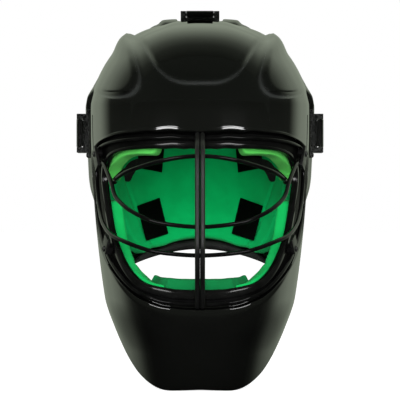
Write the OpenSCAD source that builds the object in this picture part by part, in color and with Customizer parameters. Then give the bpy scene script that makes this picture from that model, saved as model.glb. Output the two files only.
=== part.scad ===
/* [Shell] */
// Outside width of the shell at the temples
shell_w = 210.8; // [206:0.2:216]
// Reach of the brow ahead of the head's centre
brow_y = 116; // [113:0.5:119]
// Reach of the chin guard ahead of the head's centre
chin_y = 141; // [138:0.5:144]
// Reach of the rear ahead of the nape, behind the head's centre
rear_y = 124; // [121:0.5:128]
// Height of the crown over the head's centre
crown_z = 168.2; // [166:0.2:171]
// Thickness of the front shell and the back plate
shell_t = 3; // [2.6:0.1:3.4]
// Height of the raised panels on the crown
panel_rise = 3.4; // [2:0.2:5]
// Depth of the step round the face opening, where the cage lies
step_depth = 5; // [4.6:0.1:5.6]

/* [Cage] */
// Diameter of the cage's wires
wire_d = 3.8; // [3.4:0.1:4]
// Distance between the centres of the two upright wires
upright_pitch = 5.4; // [5:0.1:6]

/* [Padding] */
// Depth of the padding, from the shell's outside to the head
pad_reach = 25; // [23:0.5:28]
// Free space between a pad and what it lies against
pad_gap = 1; // [0.9:0.1:1.4]

/* [Back plate] */
// Free space between the front shell and the back plate
plate_gap = 0.8; // [0.7:0.1:1.2]
// How far the back plate stands proud beside its middle channel
plate_rise = 2.6; // [2:0.2:3]
// Height of the two ribs beside the top strap
rib_rise = 3.2; // [2:0.2:4]
// How far the back plate draws back from its closed place
plate_travel = 25; // [15:1:26]

/* [Buckles] */
// Width of a buckle across its strap
buckle_w = 37; // [35:0.5:40]
// Width of the webbing
strap_w = 25; // [22:0.5:26]
// Thickness of the webbing
strap_t = 1.6; // [1.2:0.1:1.8]

/* [Hidden] */
$fn = 32;

black = [0.03, 0.03, 0.035];
foam_green = [0.02, 0.5, 0.26];
rubber = [0.06, 0.06, 0.065];
webbing = [0.05, 0.05, 0.055];
moulded = [0.07, 0.07, 0.075];
steel = [0.55, 0.56, 0.58];

// The shell's shape: it widens up to the temples, domes over them and runs forward to the chin.
temple_z = 90;
chin_z = -120;
nape_z = -90;
jaw_slope = 4.6e-4;
jaw_tuck = 6.5;
rear_tuck = 20;
dome_power = 3.5;
dome_lift = 1.3;

// The outlines, as pairs of an angle round the face (0 up, 90 to the side, 180 down)
// and an angle off straight ahead.
opening_line = [[0, 22.7], [19, 23.9], [35, 27.3], [45, 31.6], [52, 36.7], [57, 42], [61, 47.6],
    [65, 53.2], [69, 57], [75, 59.2], [80, 58.1], [85, 55.7], [91, 52.9], [96, 51.1],
    [102, 49.3], [108, 47.5], [114, 45.4], [120, 43.1], [128, 40.7], [134, 38.8], [140, 37],
    [151, 33.5], [158, 32], [169, 30.7], [180, 30.2]];
wire_line = [[0, 26.5], [17, 28], [34, 32.5], [46, 39.5], [52, 45.5], [57, 52.5], [61, 60.5],
    [65, 68.5], [70, 73], [81, 74.5], [94, 73], [104, 66.5], [112, 58], [120, 50.5], [128, 45],
    [135, 41.6], [141, 39.4], [152, 36], [166, 33.7], [180, 33]];
rear_line = [[0, 100], [60, 100.5], [90, 102], [110, 102], [120, 101], [129, 96.5], [139, 81.5],
    [147, 67.5], [154, 58.6], [158, 56], [164, 52.9], [173, 50], [180, 49.5]];

// The back plate's and the back pad's sides, as degrees up and across from straight back.
plate_side = [[-38.5, 41.3], [-35.6, 48.9], [-28, 57.5], [-6.4, 73.7], [7.4, 84.2], [15, 85.7],
    [44, 76.2], [57, 67]];
// The plate's upper edge rises to a tab under each strap and draws back between the tabs.
plate_crest = [[0, 31], [0.25, 30], [0.3, 28], [0.36, 22.5], [0.46, 20], [0.62, 14.5], [0.79, 8.5],
    [0.85, 7.5], [0.9, 6.5], [0.95, 4], [1, 0]];
plate_arch = 13;
back_pad_side = [[-33, 36], [-28, 46], [-22, 53], [-4, 66], [10, 73], [30, 69], [50, 57], [66, 37]];
back_pad_crest = [[0, 10], [0.3, 9.1], [0.6, 6.4], [0.8, 3.6], [1, 0]];
back_pad_arch = 12.5;

function smooth(t) = let (c = min(max(t, 0), 1)) c * c * (3 - 2 * c);
function mix(a, b, k) = a + (b - a) * k;
function unit(v) = v / norm(v);

function half_width(z) = shell_w / 2 - jaw_slope * pow(max(0, temple_z - z), 2)
    - jaw_tuck * smooth((nape_z - z) / 45);
function front_reach(z) = mix(brow_y, chin_y, smooth((temple_z - z) / (temple_z - chin_z)));
function rear_reach(z) = rear_y - rear_tuck * smooth((temple_z - z) / (temple_z - nape_z));
function corner_power(z) = mix(2.25, 3, smooth((60 - z) / 180));

// Below 0 inside the shell's outside, above 0 outside it.
function shell_level(p) =
    let (
        n = p.y < 0 ? corner_power(p.z) : 2.25,
        reach = p.y < 0 ? front_reach(p.z) : rear_reach(p.z),
        r = pow(pow(abs(p.x) / half_width(p.z), n) + pow(abs(p.y) / reach, n), 1 / n),
        u = max(0, (p.z - temple_z) / (crown_z - temple_z))
    )
    pow(r, dome_power) + pow(u, dome_lift) - 1;

function radius_along(d, near = 40, far = 330, steps = 18) =
    let (r = (near + far) / 2)
    steps == 0 ? r :
    shell_level(d * r) > 0 ? radius_along(d, near, r, steps - 1) : radius_along(d, r, far, steps - 1);

function outward(p, e = 0.05) = unit([
    shell_level(p + [e, 0, 0]) - shell_level(p - [e, 0, 0]),
    shell_level(p + [0, e, 0]) - shell_level(p - [0, e, 0]),
    shell_level(p + [0, 0, e]) - shell_level(p - [0, 0, e])]);

// The point at a height over the shell's outside, in the direction d from the head's centre.
function over_shell(d, height) = let (p = d * radius_along(d)) p + height * outward(p);
function from_front(a, t) = [sin(a) * sin(t), -cos(a), sin(a) * cos(t)];
function from_back(a, t) = [sin(a) * sin(t), cos(a), sin(a) * cos(t)];

function turn(t) = abs(t) > 180 ? 360 - abs(t) : abs(t);
function opening_at(t) = lookup(turn(t), opening_line);
function wire_at(t) = lookup(turn(t), wire_line);
function rear_at(t) = lookup(turn(t), rear_line);

// The step round the opening. Its wall keeps the same distance from the wire where that runs aslant.
step_margin = 2.5;
step_width = 1.6;
function wire_slant(t) = (wire_at(t + 3) - wire_at(t - 3)) / 6 / sin(wire_at(t));
function wall_at(t) = wire_at(t) + step_margin * min(2, norm([1, wire_slant(t)]));
function step_at(a, t) = step_depth * smooth((wall_at(t) - a) / step_width);

// The crown's raised panels, in degrees across and up from straight ahead.
// The middle one widens upward, and one on each side wraps back over the temple.
panel_edge = 3;
panel_seat = [80, 94];
shoulder_rise = 1.75;
flank_rise = 0.3;
function round_min(a, b, k) = let (h = max(k - abs(a - b), 0) / k) min(a, b) - h * h * k / 4;
function middle_panel(u, v) = round_min(13.6 + 0.56 * (v - 43) - u, v - 42, 9);
function side_panel(u, v) =
    round_min(u - (20.6 + 0.29 * (v - 43)), v - (40.2 + 0.018 * pow(max(0, u - 26), 2)), 9);
// Between the back plate's tabs the panels reach further back, and stop where the plate laps over.
function seat_at(t) = mix(panel_seat[0], panel_seat[1],
    smooth((turn(t) - 10) / 8) * smooth((46 - turn(t)) / 4));
// A side panel is highest at the shoulder beside the crown and sinks into the temple's flank.
function side_rise(a, t) =
    let (low = smooth((turn(t) - 25) / 6.5))
    mix(1, mix(shoulder_rise, flank_rise, low), smooth((a - 62) / 16));
// Toward the top the middle panel keeps its height only along the crown's middle.
function crown_share(a, u) = 1 - smooth((a - 64) / 10) * mix(0.3, 1, smooth((u - 9) / 9));
function panel_at(a, t) =
    let (u = abs(a * sin(t)), v = a * cos(t))
    panel_rise * max(crown_share(a, u) * smooth(middle_panel(u, v) / panel_edge),
        side_rise(a, t) * smooth(side_panel(u, v) / panel_edge)) * smooth((seat_at(t) - a) / 5);

// ---- solids over a grid ----

// A closed solid whose points come from place(i, j, side), side 0 on the outside and 1 inside.
// A ring joins its last row to its first.
module grid_solid(rows, cols, place, ring = false) {
    points = [for (side = [0, 1]) for (i = [0:rows - 1]) for (j = [0:cols - 1]) place(i, j, side)];
    half = rows * cols;
    function at(i, j, side) = side * half + (i % rows) * cols + j;
    spans = ring ? rows - 1 : rows - 2;
    out = points[at(0, 0, 0)] - points[at(0, 0, 1)];
    across = cross(points[at(1, 0, 0)] - points[at(0, 0, 0)], points[at(0, 1, 0)] - points[at(0, 0, 0)]);
    turned = across * out > 0;
    function face(a, b, c) = turned ? [a, c, b] : [a, b, c];
    outside = [for (i = [0:spans]) for (j = [0:cols - 2]) each [
        face(at(i, j, 0), at(i + 1, j, 0), at(i + 1, j + 1, 0)),
        face(at(i, j, 0), at(i + 1, j + 1, 0), at(i, j + 1, 0))]];
    inside = [for (i = [0:spans]) for (j = [0:cols - 2]) each [
        face(at(i, j, 1), at(i + 1, j + 1, 1), at(i + 1, j, 1)),
        face(at(i, j, 1), at(i, j + 1, 1), at(i + 1, j + 1, 1))]];
    rims = [for (i = [0:spans]) each [
        face(at(i, 0, 0), at(i + 1, 0, 1), at(i + 1, 0, 0)),
        face(at(i, 0, 0), at(i, 0, 1), at(i + 1, 0, 1)),
        face(at(i, cols - 1, 0), at(i + 1, cols - 1, 0), at(i + 1, cols - 1, 1)),
        face(at(i, cols - 1, 0), at(i + 1, cols - 1, 1), at(i, cols - 1, 1))]];
    ends = ring ? [] : [for (j = [0:cols - 2]) each [
        face(at(0, j, 0), at(0, j + 1, 0), at(0, j + 1, 1)),
        face(at(0, j, 0), at(0, j + 1, 1), at(0, j, 1)),
        face(at(rows - 1, j, 0), at(rows - 1, j + 1, 1), at(rows - 1, j + 1, 0)),
        face(at(rows - 1, j, 0), at(rows - 1, j, 1), at(rows - 1, j + 1, 1))]];
    polyhedron(points, concat(outside, inside, rims, ends), convexity = 8);
}

// A closed solid through a list of sections with the same number of points.
// A loop joins the last section to the first.
module swept(sections, loop = false) {
    n = len(sections);
    m = len(sections[0]);
    function at(i, k) = (i % n) * m + k % m;
    tube = [for (i = [0:loop ? n - 1 : n - 2]) for (k = [0:m - 1]) each [
        [at(i, k), at(i + 1, k + 1), at(i + 1, k)],
        [at(i, k), at(i, k + 1), at(i + 1, k + 1)]]];
    caps = loop ? [] : [for (k = [1:m - 2]) each [
        [at(0, 0), at(0, k + 1), at(0, k)],
        [at(n - 1, 0), at(n - 1, k), at(n - 1, k + 1)]]];
    polyhedron([for (s = sections) each s], concat(tube, caps), convexity = 8);
}

// A round wire along a list of points.
wire_sides = 8;
module wire(path, d, loop = false) {
    n = len(path);
    function ahead(i) = path[loop ? (i + 1) % n : min(i + 1, n - 1)];
    function behind(i) = path[loop ? (i + n - 1) % n : max(i - 1, 0)];
    swept([for (i = [0:n - 1])
        let (
            along = unit(ahead(i) - behind(i)),
            side = unit(cross(along, path[i])),
            up = cross(side, along)
        )
        [for (k = [0:wire_sides - 1])
            path[i] + d / 2 * (cos(k * 360 / wire_sides) * side + sin(k * 360 / wire_sides) * up)]],
        loop);
}

// A smooth curve through the points of a list, with a number of steps between two of them.
function curve_point(p0, p1, p2, p3, k) = 0.5 * (2 * p1 + (p2 - p0) * k
    + (2 * p0 - 5 * p1 + 4 * p2 - p3) * k * k + (3 * p1 - p0 - 3 * p2 + p3) * k * k * k);
function curve(points, steps) =
    let (n = len(points), ends = concat([2 * points[0] - points[1]], points,
        [2 * points[n - 1] - points[n - 2]]))
    [for (i = [0:n - 2]) for (k = [0:steps - 1])
        curve_point(ends[i], ends[i + 1], ends[i + 2], ends[i + 3], k / steps),
        points[n - 1]];
function mirrored(points) = [for (p = points) [-p.x, p.y, p.z]];
// A curve from the right end over the middle to the left end; the list starts at the middle.
function both_sides(points) =
    let (n = len(points))
    concat([for (i = [n - 1:-1:1]) points[i]], mirrored(points));

// Puts children on the shell: x along the wire line, y away from the opening, z outward.
module on_shell(p, along) {
    up = outward(p);
    side = unit(cross(up, along));
    ahead = cross(side, up);
    multmatrix([
        [ahead.x, side.x, up.x, p.x],
        [ahead.y, side.y, up.y, p.y],
        [ahead.z, side.z, up.z, p.z],
        [0, 0, 0, 1]])
        children();
}

// ---- front shell ----

shell_rows = 72;
floor_cols = 5;
wall_cols = 16;
module front_shell() {
    place = function(i, j, side)
        let (
            t = i * 360 / shell_rows - 180,
            wall = wall_at(t),
            a = j < floor_cols ? mix(opening_at(t), wall - step_width, j / (floor_cols - 1))
                : mix(wall, rear_at(t), (j - floor_cols) / (wall_cols - 1))
        )
        over_shell(from_front(a, t), panel_at(a, t) - step_at(a, t) - side * shell_t);
    color(black) difference() {
        grid_solid(shell_rows, floor_cols + wall_cols, place, ring = true);
        buckle_stations() buckle_screw_holes();
        clip_stations() screw_hole(screw_d + 0.1);
    }
}

// A rubber channel pressed over the opening's edge.
trim_wall = 1.2;
trim_gap = 0.35;
trim_under = 0.6;
trim_cover = 1.6;
trim_lip = 0.9;
trim_slack = 0.2;
module face_opening_trim() {
    top = -step_depth + trim_gap;
    bottom = -step_depth - shell_t - trim_under;
    // each corner: degrees away from the edge, height over the shell's outside
    corners = [[trim_cover, top], [-trim_slack, top], [-trim_slack, bottom], [trim_cover, bottom],
        [trim_cover, bottom - trim_wall], [-trim_lip, bottom - trim_wall],
        [-trim_lip, top + trim_wall], [trim_cover, top + trim_wall]];
    color(rubber)
        swept([for (i = [0:shell_rows - 1])
            let (t = i * 360 / shell_rows - 180)
            [for (c = corners) over_shell(from_front(opening_at(t) + c[0], t), c[1])]], loop = true);
}

// ---- cage ----

wire_seat = 0.5;
wire_height = -step_depth + wire_d / 2 + wire_seat;
weld_gap = 0.15;
upright_end = 3;
frame_path = [for (i = [0:shell_rows - 1]) let (t = i * 360 / shell_rows - 180)
    over_shell(from_front(wire_at(t), t), wire_height)];
frame_top = over_shell(from_front(wire_at(0), 0), wire_height);
frame_bottom = over_shell(from_front(wire_at(180), 180), wire_height);
// Half of each cross wire, from its middle to its right end, across in shares of half the width.
function to_width(points) = [for (p = points) [p.x * shell_w / 2, p.y, p.z]];
brow_half = [[0, -136, 38.5], [0.2941, -132.5, 35], [0.5693, -117, 27], [0.6926, -101.5, 21],
    [0.7362, -88, 17]];
eye_half = [[0, -149, -23.4], [0.3292, -145, -20], [0.4839, -138, -14.4], [0.6148, -126, -7],
    [0.7154, -109, 3], [0.7647, -94, 16.9], [0.8235, -75.9, 29.9], [0.8634, -63.5, 35.5]];
mouth_half = [[0, -152, -48], [0.3283, -148, -45.6], [0.4839, -141, -41.9],
    [0.6309, -129.5, -36.5], [0.7514, -112, -31], [0.834, -88, -21.5], [0.8786, -66, -9],
    [0.907, -50, 8], [0.9203, -43, 24], [0.9194, -43.5, 37]];
module cage_wire(path, loop = false) color(black) wire(path, wire_d, loop);
module cage_frame_wire() cage_wire(frame_path, loop = true);
module cage_brow_bar() cage_wire(curve(both_sides(to_width(brow_half)), 5));
module cage_eye_bar() cage_wire(curve(both_sides(to_width(eye_half)), 4));
module cage_mouth_bar() cage_wire(curve(both_sides(to_width(mouth_half)), 4));

// The upright wires run in front of all the others, a wire's thickness ahead of their middles.
crossings = [frame_top, brow_half[0], eye_half[0], mouth_half[0], frame_bottom];
function upright_point(i) =
    let (
        along = unit(crossings[min(i + 1, 4)] - crossings[max(i - 1, 0)]),
        ahead = [0, along.z, -along.y]
    )
    crossings[i] + ahead * (wire_d + weld_gap);
module cage_upright(x) {
    middles = [for (i = [0:4]) upright_point(i)];
    path = concat([middles[0] + upright_end * unit(middles[0] - middles[1])], curve(middles, 4),
        [middles[4] + upright_end * unit(middles[4] - middles[3])]);
    color(black) translate([x, 0, 0]) wire(path, wire_d - 0.2);
}
module cage_upright_left() cage_upright(-upright_pitch / 2);
module cage_upright_right() cage_upright(upright_pitch / 2);

// ---- cage clips and their screws ----

screw_d = 3;
screw_head_d = 5.6;
screw_head_t = 1.6;
clip_plate_t = 2.6;
clip_under = 5;
clip_seat = 0.6;
clip_w = 10;
upper_clip_at = [62.9, 66];
upper_clip_in = 6;
lower_clip_at = [48.2, 117.5];
lower_clip_in = 3;
clip_foot = [6, 9];

// Children are placed at each clip: z outward from the step's floor, y away from the opening.
module clip_station(side, at) {
    d = from_front(at[0], side * at[1]);
    p = over_shell(d, -step_depth);
    d_next = from_front(wire_at(at[1] + 3), side * (at[1] + 3));
    d_here = from_front(wire_at(at[1]), side * at[1]);
    on_shell(p, d_next * radius_along(d_next) - d_here * radius_along(d_here))
        mirror([0, side > 0 ? 1 : 0, 0]) children();
}
module clip_stations() {
    for (side = [-1, 1]) {
        clip_station(side, upper_clip_at) children();
        clip_station(side, lower_clip_at) children();
    }
}
module screw_hole(d) translate([0, 0, -shell_t - 1]) cylinder(d = d, h = shell_t + 12);
module clip(reach_in, reach_out) color(black) difference() {
    union() {
        translate([-clip_w / 2, -reach_in, clip_under])
            cube([clip_w, reach_in + reach_out, clip_plate_t]);
        translate([-clip_foot[1] / 2, -clip_foot[0] / 2, clip_seat])
            cube([clip_foot[1], clip_foot[0], clip_under - clip_seat + 0.1]);
    }
    screw_hole(screw_d + 0.1);
}
module screw(length, head_z) color(steel) {
    translate([0, 0, head_z]) cylinder(d = screw_head_d, h = screw_head_t);
    translate([0, 0, head_z - length]) cylinder(d = screw_d, h = length + 0.1);
}
module clip_screw() {
    top = clip_under + clip_plate_t;
    screw(top + shell_t, top);
}
module cage_clip_upper_left() clip_station(-1, upper_clip_at) clip(upper_clip_in, 16);
module cage_clip_upper_right() clip_station(1, upper_clip_at) clip(upper_clip_in, 16);
module cage_clip_lower_left() clip_station(-1, lower_clip_at) clip(lower_clip_in, 12);
module cage_clip_lower_right() clip_station(1, lower_clip_at) clip(lower_clip_in, 12);
module clip_screw_upper_left() clip_station(-1, upper_clip_at) clip_screw();
module clip_screw_upper_right() clip_station(1, upper_clip_at) clip_screw();
module clip_screw_lower_left() clip_station(-1, lower_clip_at) clip_screw();
module clip_screw_lower_right() clip_station(1, lower_clip_at) clip_screw();

// ---- padding of the front shell ----

// Spreads steps from 0 to 1 closer together near the ends.
function spread(k) = k - 0.09 * sin(360 * k);
// A pad is full in its middle and drawn in along its edges and along its score lines.
edge_share = 0.8;
score_share = 0.85;
edge_width = 5;
row_step = 360 / shell_rows;

// The front pads' rows lie on the shell's rows, and their steps just outside the shell's step.
// Beside the face they end behind the rubber channel; at the chin they stand up into the opening.
lip_margin = 2.3;
jaw_lip = -1.5;
chin_lip = -4;
pad_split = 0.6;
pad_floor = step_depth + shell_t + trim_under + trim_wall + pad_gap;
cheek_reach = 23.5;
step_clear = 0.8;
function clear_wall(t) = max([for (k = [-1, 0, 1]) wall_at(t + k * row_step)]) + step_clear;
function pad_row_t(i, first, rows) = (first + i) * row_step
    + (i == 0 ? pad_split : i == rows - 1 ? -pad_split : 0);
module front_pad(first, last, cols, scores, inner, outer, reach = pad_reach) {
    rows = last - first + 1;
    place = function(i, j, side)
        let (
            t = pad_row_t(i, first, rows),
            near = inner(t),
            far = outer(t),
            wall = clear_wall(t),
            below = wall < near,
            stepped = wall + 2 * step_width < far,
            foot = min(wall, far - 2 * step_width) - step_width,
            a = below ? mix(near, far, j / (cols - 1))
                : j < 3 ? mix(near, foot, j / 2)
                : mix(foot + step_width, far, (j - 3) / (cols - 4)),
            top = below || stepped && j > 2 ? shell_t + pad_gap : pad_floor,
            edge = min(min(a - near, far - a) / edge_width, min(i, rows - 1 - i)),
            full = mix(edge_share, 1, smooth(edge))
                * (len(search(i, scores)) > 0 && j > 0 && j < cols - 1 ? score_share : 1)
        )
        over_shell(from_front(a, t), -top - side * (reach - top) * full);
    color(foam_green) grid_solid(rows, cols, place);
}
brow_row = 8;
temple_row = 16;
jaw_row = 18;
cheek_row = 29;
brow_top = 62;
function lip_line(t) = opening_at(t) + mix(lip_margin, jaw_lip, smooth((turn(t) - 118) / 22));
module forehead_pad() front_pad(-brow_row, brow_row, 8, [brow_row],
    function(t) lip_line(t), function(t) brow_top);
module crown_pad() front_pad(-brow_row, brow_row, 7, [5, 11],
    function(t) brow_top + 2 * pad_split, function(t) 91);
module side_pad(side, first, last, cols, scores, inner, outer, reach = pad_reach)
    front_pad(side > 0 ? first : -last, side > 0 ? last : -first, cols, scores, inner, outer, reach);
module temple_pad(side) side_pad(side, brow_row, temple_row, 8, [],
    function(t) lip_line(t), function(t) mix(brow_top, 76, smooth((abs(t) - 46) / 8)));
module temple_pad_left() temple_pad(-1);
module temple_pad_right() temple_pad(1);
module cheek_pad(side) side_pad(side, jaw_row, cheek_row, 8, [],
    function(t) lip_line(t), function(t) min(71, rear_at(t) - 5), cheek_reach);
module cheek_pad_left() cheek_pad(-1);
module cheek_pad_right() cheek_pad(1);
module chin_pad() front_pad(cheek_row, shell_rows - cheek_row, 7, [],
    function(t) opening_at(t) + chin_lip, function(t) 44);

// ---- back plate and its padding ----

channel_w = 38;
channel_side = 4;
rib_w = 18;
shoulder_x = 44;
shoulder_z = 98;
shoulder_share = 0.6;
// Height of the back plate's inside over the front shell's outside, at a point of the shell.
function plate_height(p) =
    let (
        beside = smooth((abs(p.x) - channel_w / 2) / channel_side),
        top = smooth((p.z - 60) / 30),
        shoulder = shoulder_share * smooth((abs(p.x) - shoulder_x) / 10)
            * smooth((p.z - shoulder_z) / 12),
        rib = beside * smooth((channel_w / 2 + channel_side + rib_w - abs(p.x)) / 6)
    )
    plate_gap + plate_rise * mix(1, beside, top) * (1 - shoulder)
    + rib_rise * rib * smooth((p.z - 50) / 50);
function plate_skin(d, height) = let (p = d * radius_along(d)) p + (height + plate_height(p)) * outward(p);
// The same without the channel's sides and the ribs, at the lowest that the plate comes to.
function plate_floor(d, height) =
    let (p = d * radius_along(d))
    p + (height + plate_gap + plate_rise * (1 - smooth((p.z - 60) / 30))) * outward(p);
// The direction at a place of a rear sheet: k across from -1 to 1, q from its foot to its crest.
function rear_direction(k, q, sides, crest, arch) =
    let (
        row = mix(sides[0][0], sides[len(sides) - 1][0], q),
        u = k * lookup(row, sides),
        v = row + lookup(abs(k), crest) * q * q + (1 - k * k) * arch * (1 - q) * (1 - q)
    )
    from_back(norm([u, v]), atan2(u, v));
function both_ways(i, rows) = let (k = 2 * i / (rows - 1) - 1) sign(k) * pow(abs(k), 1.2);

plate_rows = 33;
plate_cols = 16;
module back_plate() {
    place = function(i, j, side) plate_skin(rear_direction(both_ways(i, plate_rows),
        j / (plate_cols - 1), plate_side, plate_crest, plate_arch), shell_t * (1 - side));
    color(black) difference() {
        grid_solid(plate_rows, plate_cols, place);
        rivet_stations() rivet_hole();
    }
}
back_pad_rows = 19;
back_pad_cols = 9;
back_pad_reach = 20;
back_pad_creases = [3, 15];
back_pad_edge = [0.14, 0.25];
function back_fullness(i, j) =
    let (ki = i / (back_pad_rows - 1), kj = j / (back_pad_cols - 1))
    mix(0.6, 1, smooth(min(ki, 1 - ki) / back_pad_edge[0]) * smooth(min(kj, 1 - kj) / back_pad_edge[1]))
    * (len(search(i, back_pad_creases)) > 0 && j > 0 && j < back_pad_cols - 1 ? score_share : 1);
module back_pad() {
    place = function(i, j, side)
        let (
            d = rear_direction(2 * i / (back_pad_rows - 1) - 1, spread(j / (back_pad_cols - 1)),
                back_pad_side, back_pad_crest, back_pad_arch),
            full = back_fullness(i, j)
        )
        side == 0 ? plate_floor(d, -pad_gap) : over_shell(d, -back_pad_reach * full);
    color(foam_green) grid_solid(back_pad_rows, back_pad_cols, place);
}
// A strip of rubber along the back plate's foot, over the nape.
band_rows = 17;
band_t = 5;
band_split = 0.8;
module neck_band() {
    function foot(k, along) =
        let (
            low = rear_direction(k, 0, plate_side, plate_crest, plate_arch),
            high = rear_direction(k * 0.86, 0, back_pad_side, back_pad_crest, back_pad_arch)
        )
        unit(mix(low, high, along));
    place = function(i, j, side)
        let (d = foot(1.9 * i / (band_rows - 1) - 0.95, [0.1, 0.45, 0.82][j]))
        plate_floor(d, side == 0 ? -pad_gap : -band_t * [0.7, 1, 0.8][j] - pad_gap);
    color(rubber) grid_solid(band_rows, 3, place);
}

// Patches of hook tape on the head's side of the back pad: middle and half sizes in mm.
patch_t = 1;
patch_gap = 1.5;
patch_r = 95;
patch_lower = [52.5, -20, 14, 16.5, -14];
patch_upper = [50.5, 35.5, 14, 13, 10];
module hook_patch(side, patch) {
    place = function(i, j, layer)
        let (
            u = (i / 3 * 2 - 1) * patch[2],
            v = (j / 3 * 2 - 1) * patch[3],
            x = patch[0] + u * cos(patch[4]) - v * sin(patch[4]),
            z = patch[1] + u * sin(patch[4]) + v * cos(patch[4]),
            d = unit([side * x, sqrt(max(100, patch_r * patch_r - x * x)), z])
        )
        over_shell(d, -back_pad_reach - patch_gap - layer * patch_t);
    color(black) grid_solid(4, 4, place);
}
module hook_patch_upper_left() hook_patch(-1, patch_upper);
module hook_patch_upper_right() hook_patch(1, patch_upper);
module hook_patch_lower_left() hook_patch(-1, patch_lower);
module hook_patch_lower_right() hook_patch(1, patch_lower);

// ---- buckles ----

seat_gap = 0.3;
buckle_y = -8;
side_buckle_z = 64;
buckle_l = 22;
foot_t = 2.6;
ear_w = 4.8;
strap_floor = 6.2;
strap_z = 6.5;
cheek_w = 5;
cheek_h = 12.2;
bar_z = 8.5;
bar_t = 1.6;
lever_t = 2;
pin_d = 3;
pin_y = 5.6;
pin_z = 10.7;
knuckle_r = 2.1;
fit = 0.3;
buckle_screw_x = buckle_w / 2 + ear_w / 2 - 0.1;
buckle_screw_d = 2.5;
buckle_screw_head_d = 4.2;
buckle_screw_head_t = 1.4;

// Children are placed at a buckle: x across the strap, y along it to the rear, z outward.
module top_station() translate([0, buckle_y, crown_z + seat_gap]) children();
module side_station(side) translate([side * (shell_w / 2 + seat_gap), buckle_y, side_buckle_z])
    rotate([0, side * 90, 0]) children();
module buckle_stations() {
    top_station() children();
    side_station(-1) children();
    side_station(1) children();
}
module buckle_screw_holes() for (side = [-1, 1]) translate([side * buckle_screw_x, 0, -shell_t - 3])
    cylinder(d = buckle_screw_d + 0.1, h = shell_t + 8);
module buckle_base() color(moulded) difference() {
    union() {
        translate([-buckle_w / 2 - ear_w, -7, 0]) cube([buckle_w + 2 * ear_w, 14, foot_t]);
        translate([-buckle_w / 2, -buckle_l / 2, 0]) cube([buckle_w, buckle_l, strap_floor]);
        for (side = [-1, 1]) translate([side * (buckle_w - cheek_w) / 2 - cheek_w / 2, -buckle_l / 2, 0])
            cube([cheek_w, buckle_l, cheek_h]);
        translate([-buckle_w / 2, -buckle_l / 2, bar_z]) cube([buckle_w, 3.5, bar_t]);
    }
    buckle_screw_holes();
    translate([-buckle_w / 2 - 1, pin_y, pin_z]) rotate([0, 90, 0])
        cylinder(d = pin_d + 0.1, h = buckle_w + 2);
}
lever_w = buckle_w - 2 * cheek_w - 2 * fit;
lever_reach = 14;
module buckle_lever() color(moulded) difference() {
    union() {
        translate([-lever_w / 2, pin_y - knuckle_r, bar_z + bar_t + fit])
            translate([0, -lever_reach - 1, 0]) cube([lever_w, lever_reach + 3, lever_t]);
        translate([-lever_w / 2, pin_y, pin_z]) rotate([0, 90, 0])
            cylinder(r = knuckle_r, h = lever_w);
    }
    translate([-buckle_w / 2, pin_y, pin_z]) rotate([0, 90, 0])
        cylinder(d = pin_d + fit, h = buckle_w);
}
module buckle_pin() color(steel) translate([-buckle_w / 2 + 0.2, pin_y, pin_z]) rotate([0, 90, 0])
    cylinder(d = pin_d, h = buckle_w - 0.4);
module buckle_screw(side) color(steel) translate([side * buckle_screw_x, 0, 0]) {
    translate([0, 0, foot_t]) cylinder(d = buckle_screw_head_d, h = buckle_screw_head_t);
    translate([0, 0, -shell_t - seat_gap])
        cylinder(d = buckle_screw_d, h = foot_t + shell_t + seat_gap + 0.1);
}
module buckle_base_top() top_station() buckle_base();
module buckle_base_left() side_station(-1) buckle_base();
module buckle_base_right() side_station(1) buckle_base();
module buckle_lever_top() top_station() buckle_lever();
module buckle_lever_left() side_station(-1) buckle_lever();
module buckle_lever_right() side_station(1) buckle_lever();
module buckle_pin_top() top_station() buckle_pin();
module buckle_pin_left() side_station(-1) buckle_pin();
module buckle_pin_right() side_station(1) buckle_pin();
module buckle_screw_top_left() top_station() buckle_screw(-1);
module buckle_screw_top_right() top_station() buckle_screw(1);
module buckle_screw_left_upper() side_station(-1) buckle_screw(1);
module buckle_screw_left_lower() side_station(-1) buckle_screw(-1);
module buckle_screw_right_upper() side_station(1) buckle_screw(-1);
module buckle_screw_right_lower() side_station(1) buckle_screw(1);

// ---- straps ----

// The strap runs straight through its buckle for the plate's whole travel,
// then bends down to the back plate and lies on it.
strap_tail = plate_travel + 2;
strap_bend_y = 24;
strap_gap = 0.5;
rivet_y = [46, 62];
strap_end_y = 70;
rivet_d = 3.6;
rivet_head_d = 9;
rivet_head_t = 1.4;
rivet_gap = 0.3;

// The shell's outside in the middle plane, and level with the side buckles.
function crown_point(y) = let (r = pow(y / rear_y, dome_power))
    [0, y, temple_z + (crown_z - temple_z) * pow(1 - r, 1 / dome_lift)];
function side_point(y) = let (reach = rear_reach(side_buckle_z))
    [half_width(side_buckle_z) * pow(1 - pow(y / reach, 2.25), 1 / 2.25), y, side_buckle_z];
// A station's own y and z of a point of the shell, lifted by a height.
function strap_lift(p, height) = p + height * outward(p);
function on_top(p) = [p.y - buckle_y, p.z - crown_z - seat_gap];
function on_side(p) = [p.y - buckle_y, p.x - shell_w / 2 - seat_gap];
top_lie = plate_gap + shell_t + strap_gap;
side_lie = top_lie + plate_rise;
strap_steps = [38, 46, 54, 62, strap_end_y];
module strap(lower, upper) translate([-strap_w / 2, 0, 0])
    rotate([90, 0, 90]) linear_extrude(strap_w) polygon(concat(
        [[-buckle_l / 2 - strap_tail, strap_z], [strap_bend_y, strap_z]], lower,
        [for (i = [len(upper) - 1:-1:0]) upper[i]],
        [[strap_bend_y, strap_z + strap_t], [-buckle_l / 2 - strap_tail, strap_z + strap_t]]));
module strap_top() color(webbing) difference() {
    top_station() strap(
        [for (y = strap_steps) on_top(strap_lift(crown_point(y), top_lie))],
        [for (y = strap_steps) on_top(strap_lift(crown_point(y), top_lie + strap_t))]);
    rivet_stations() rivet_hole();
}
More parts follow.
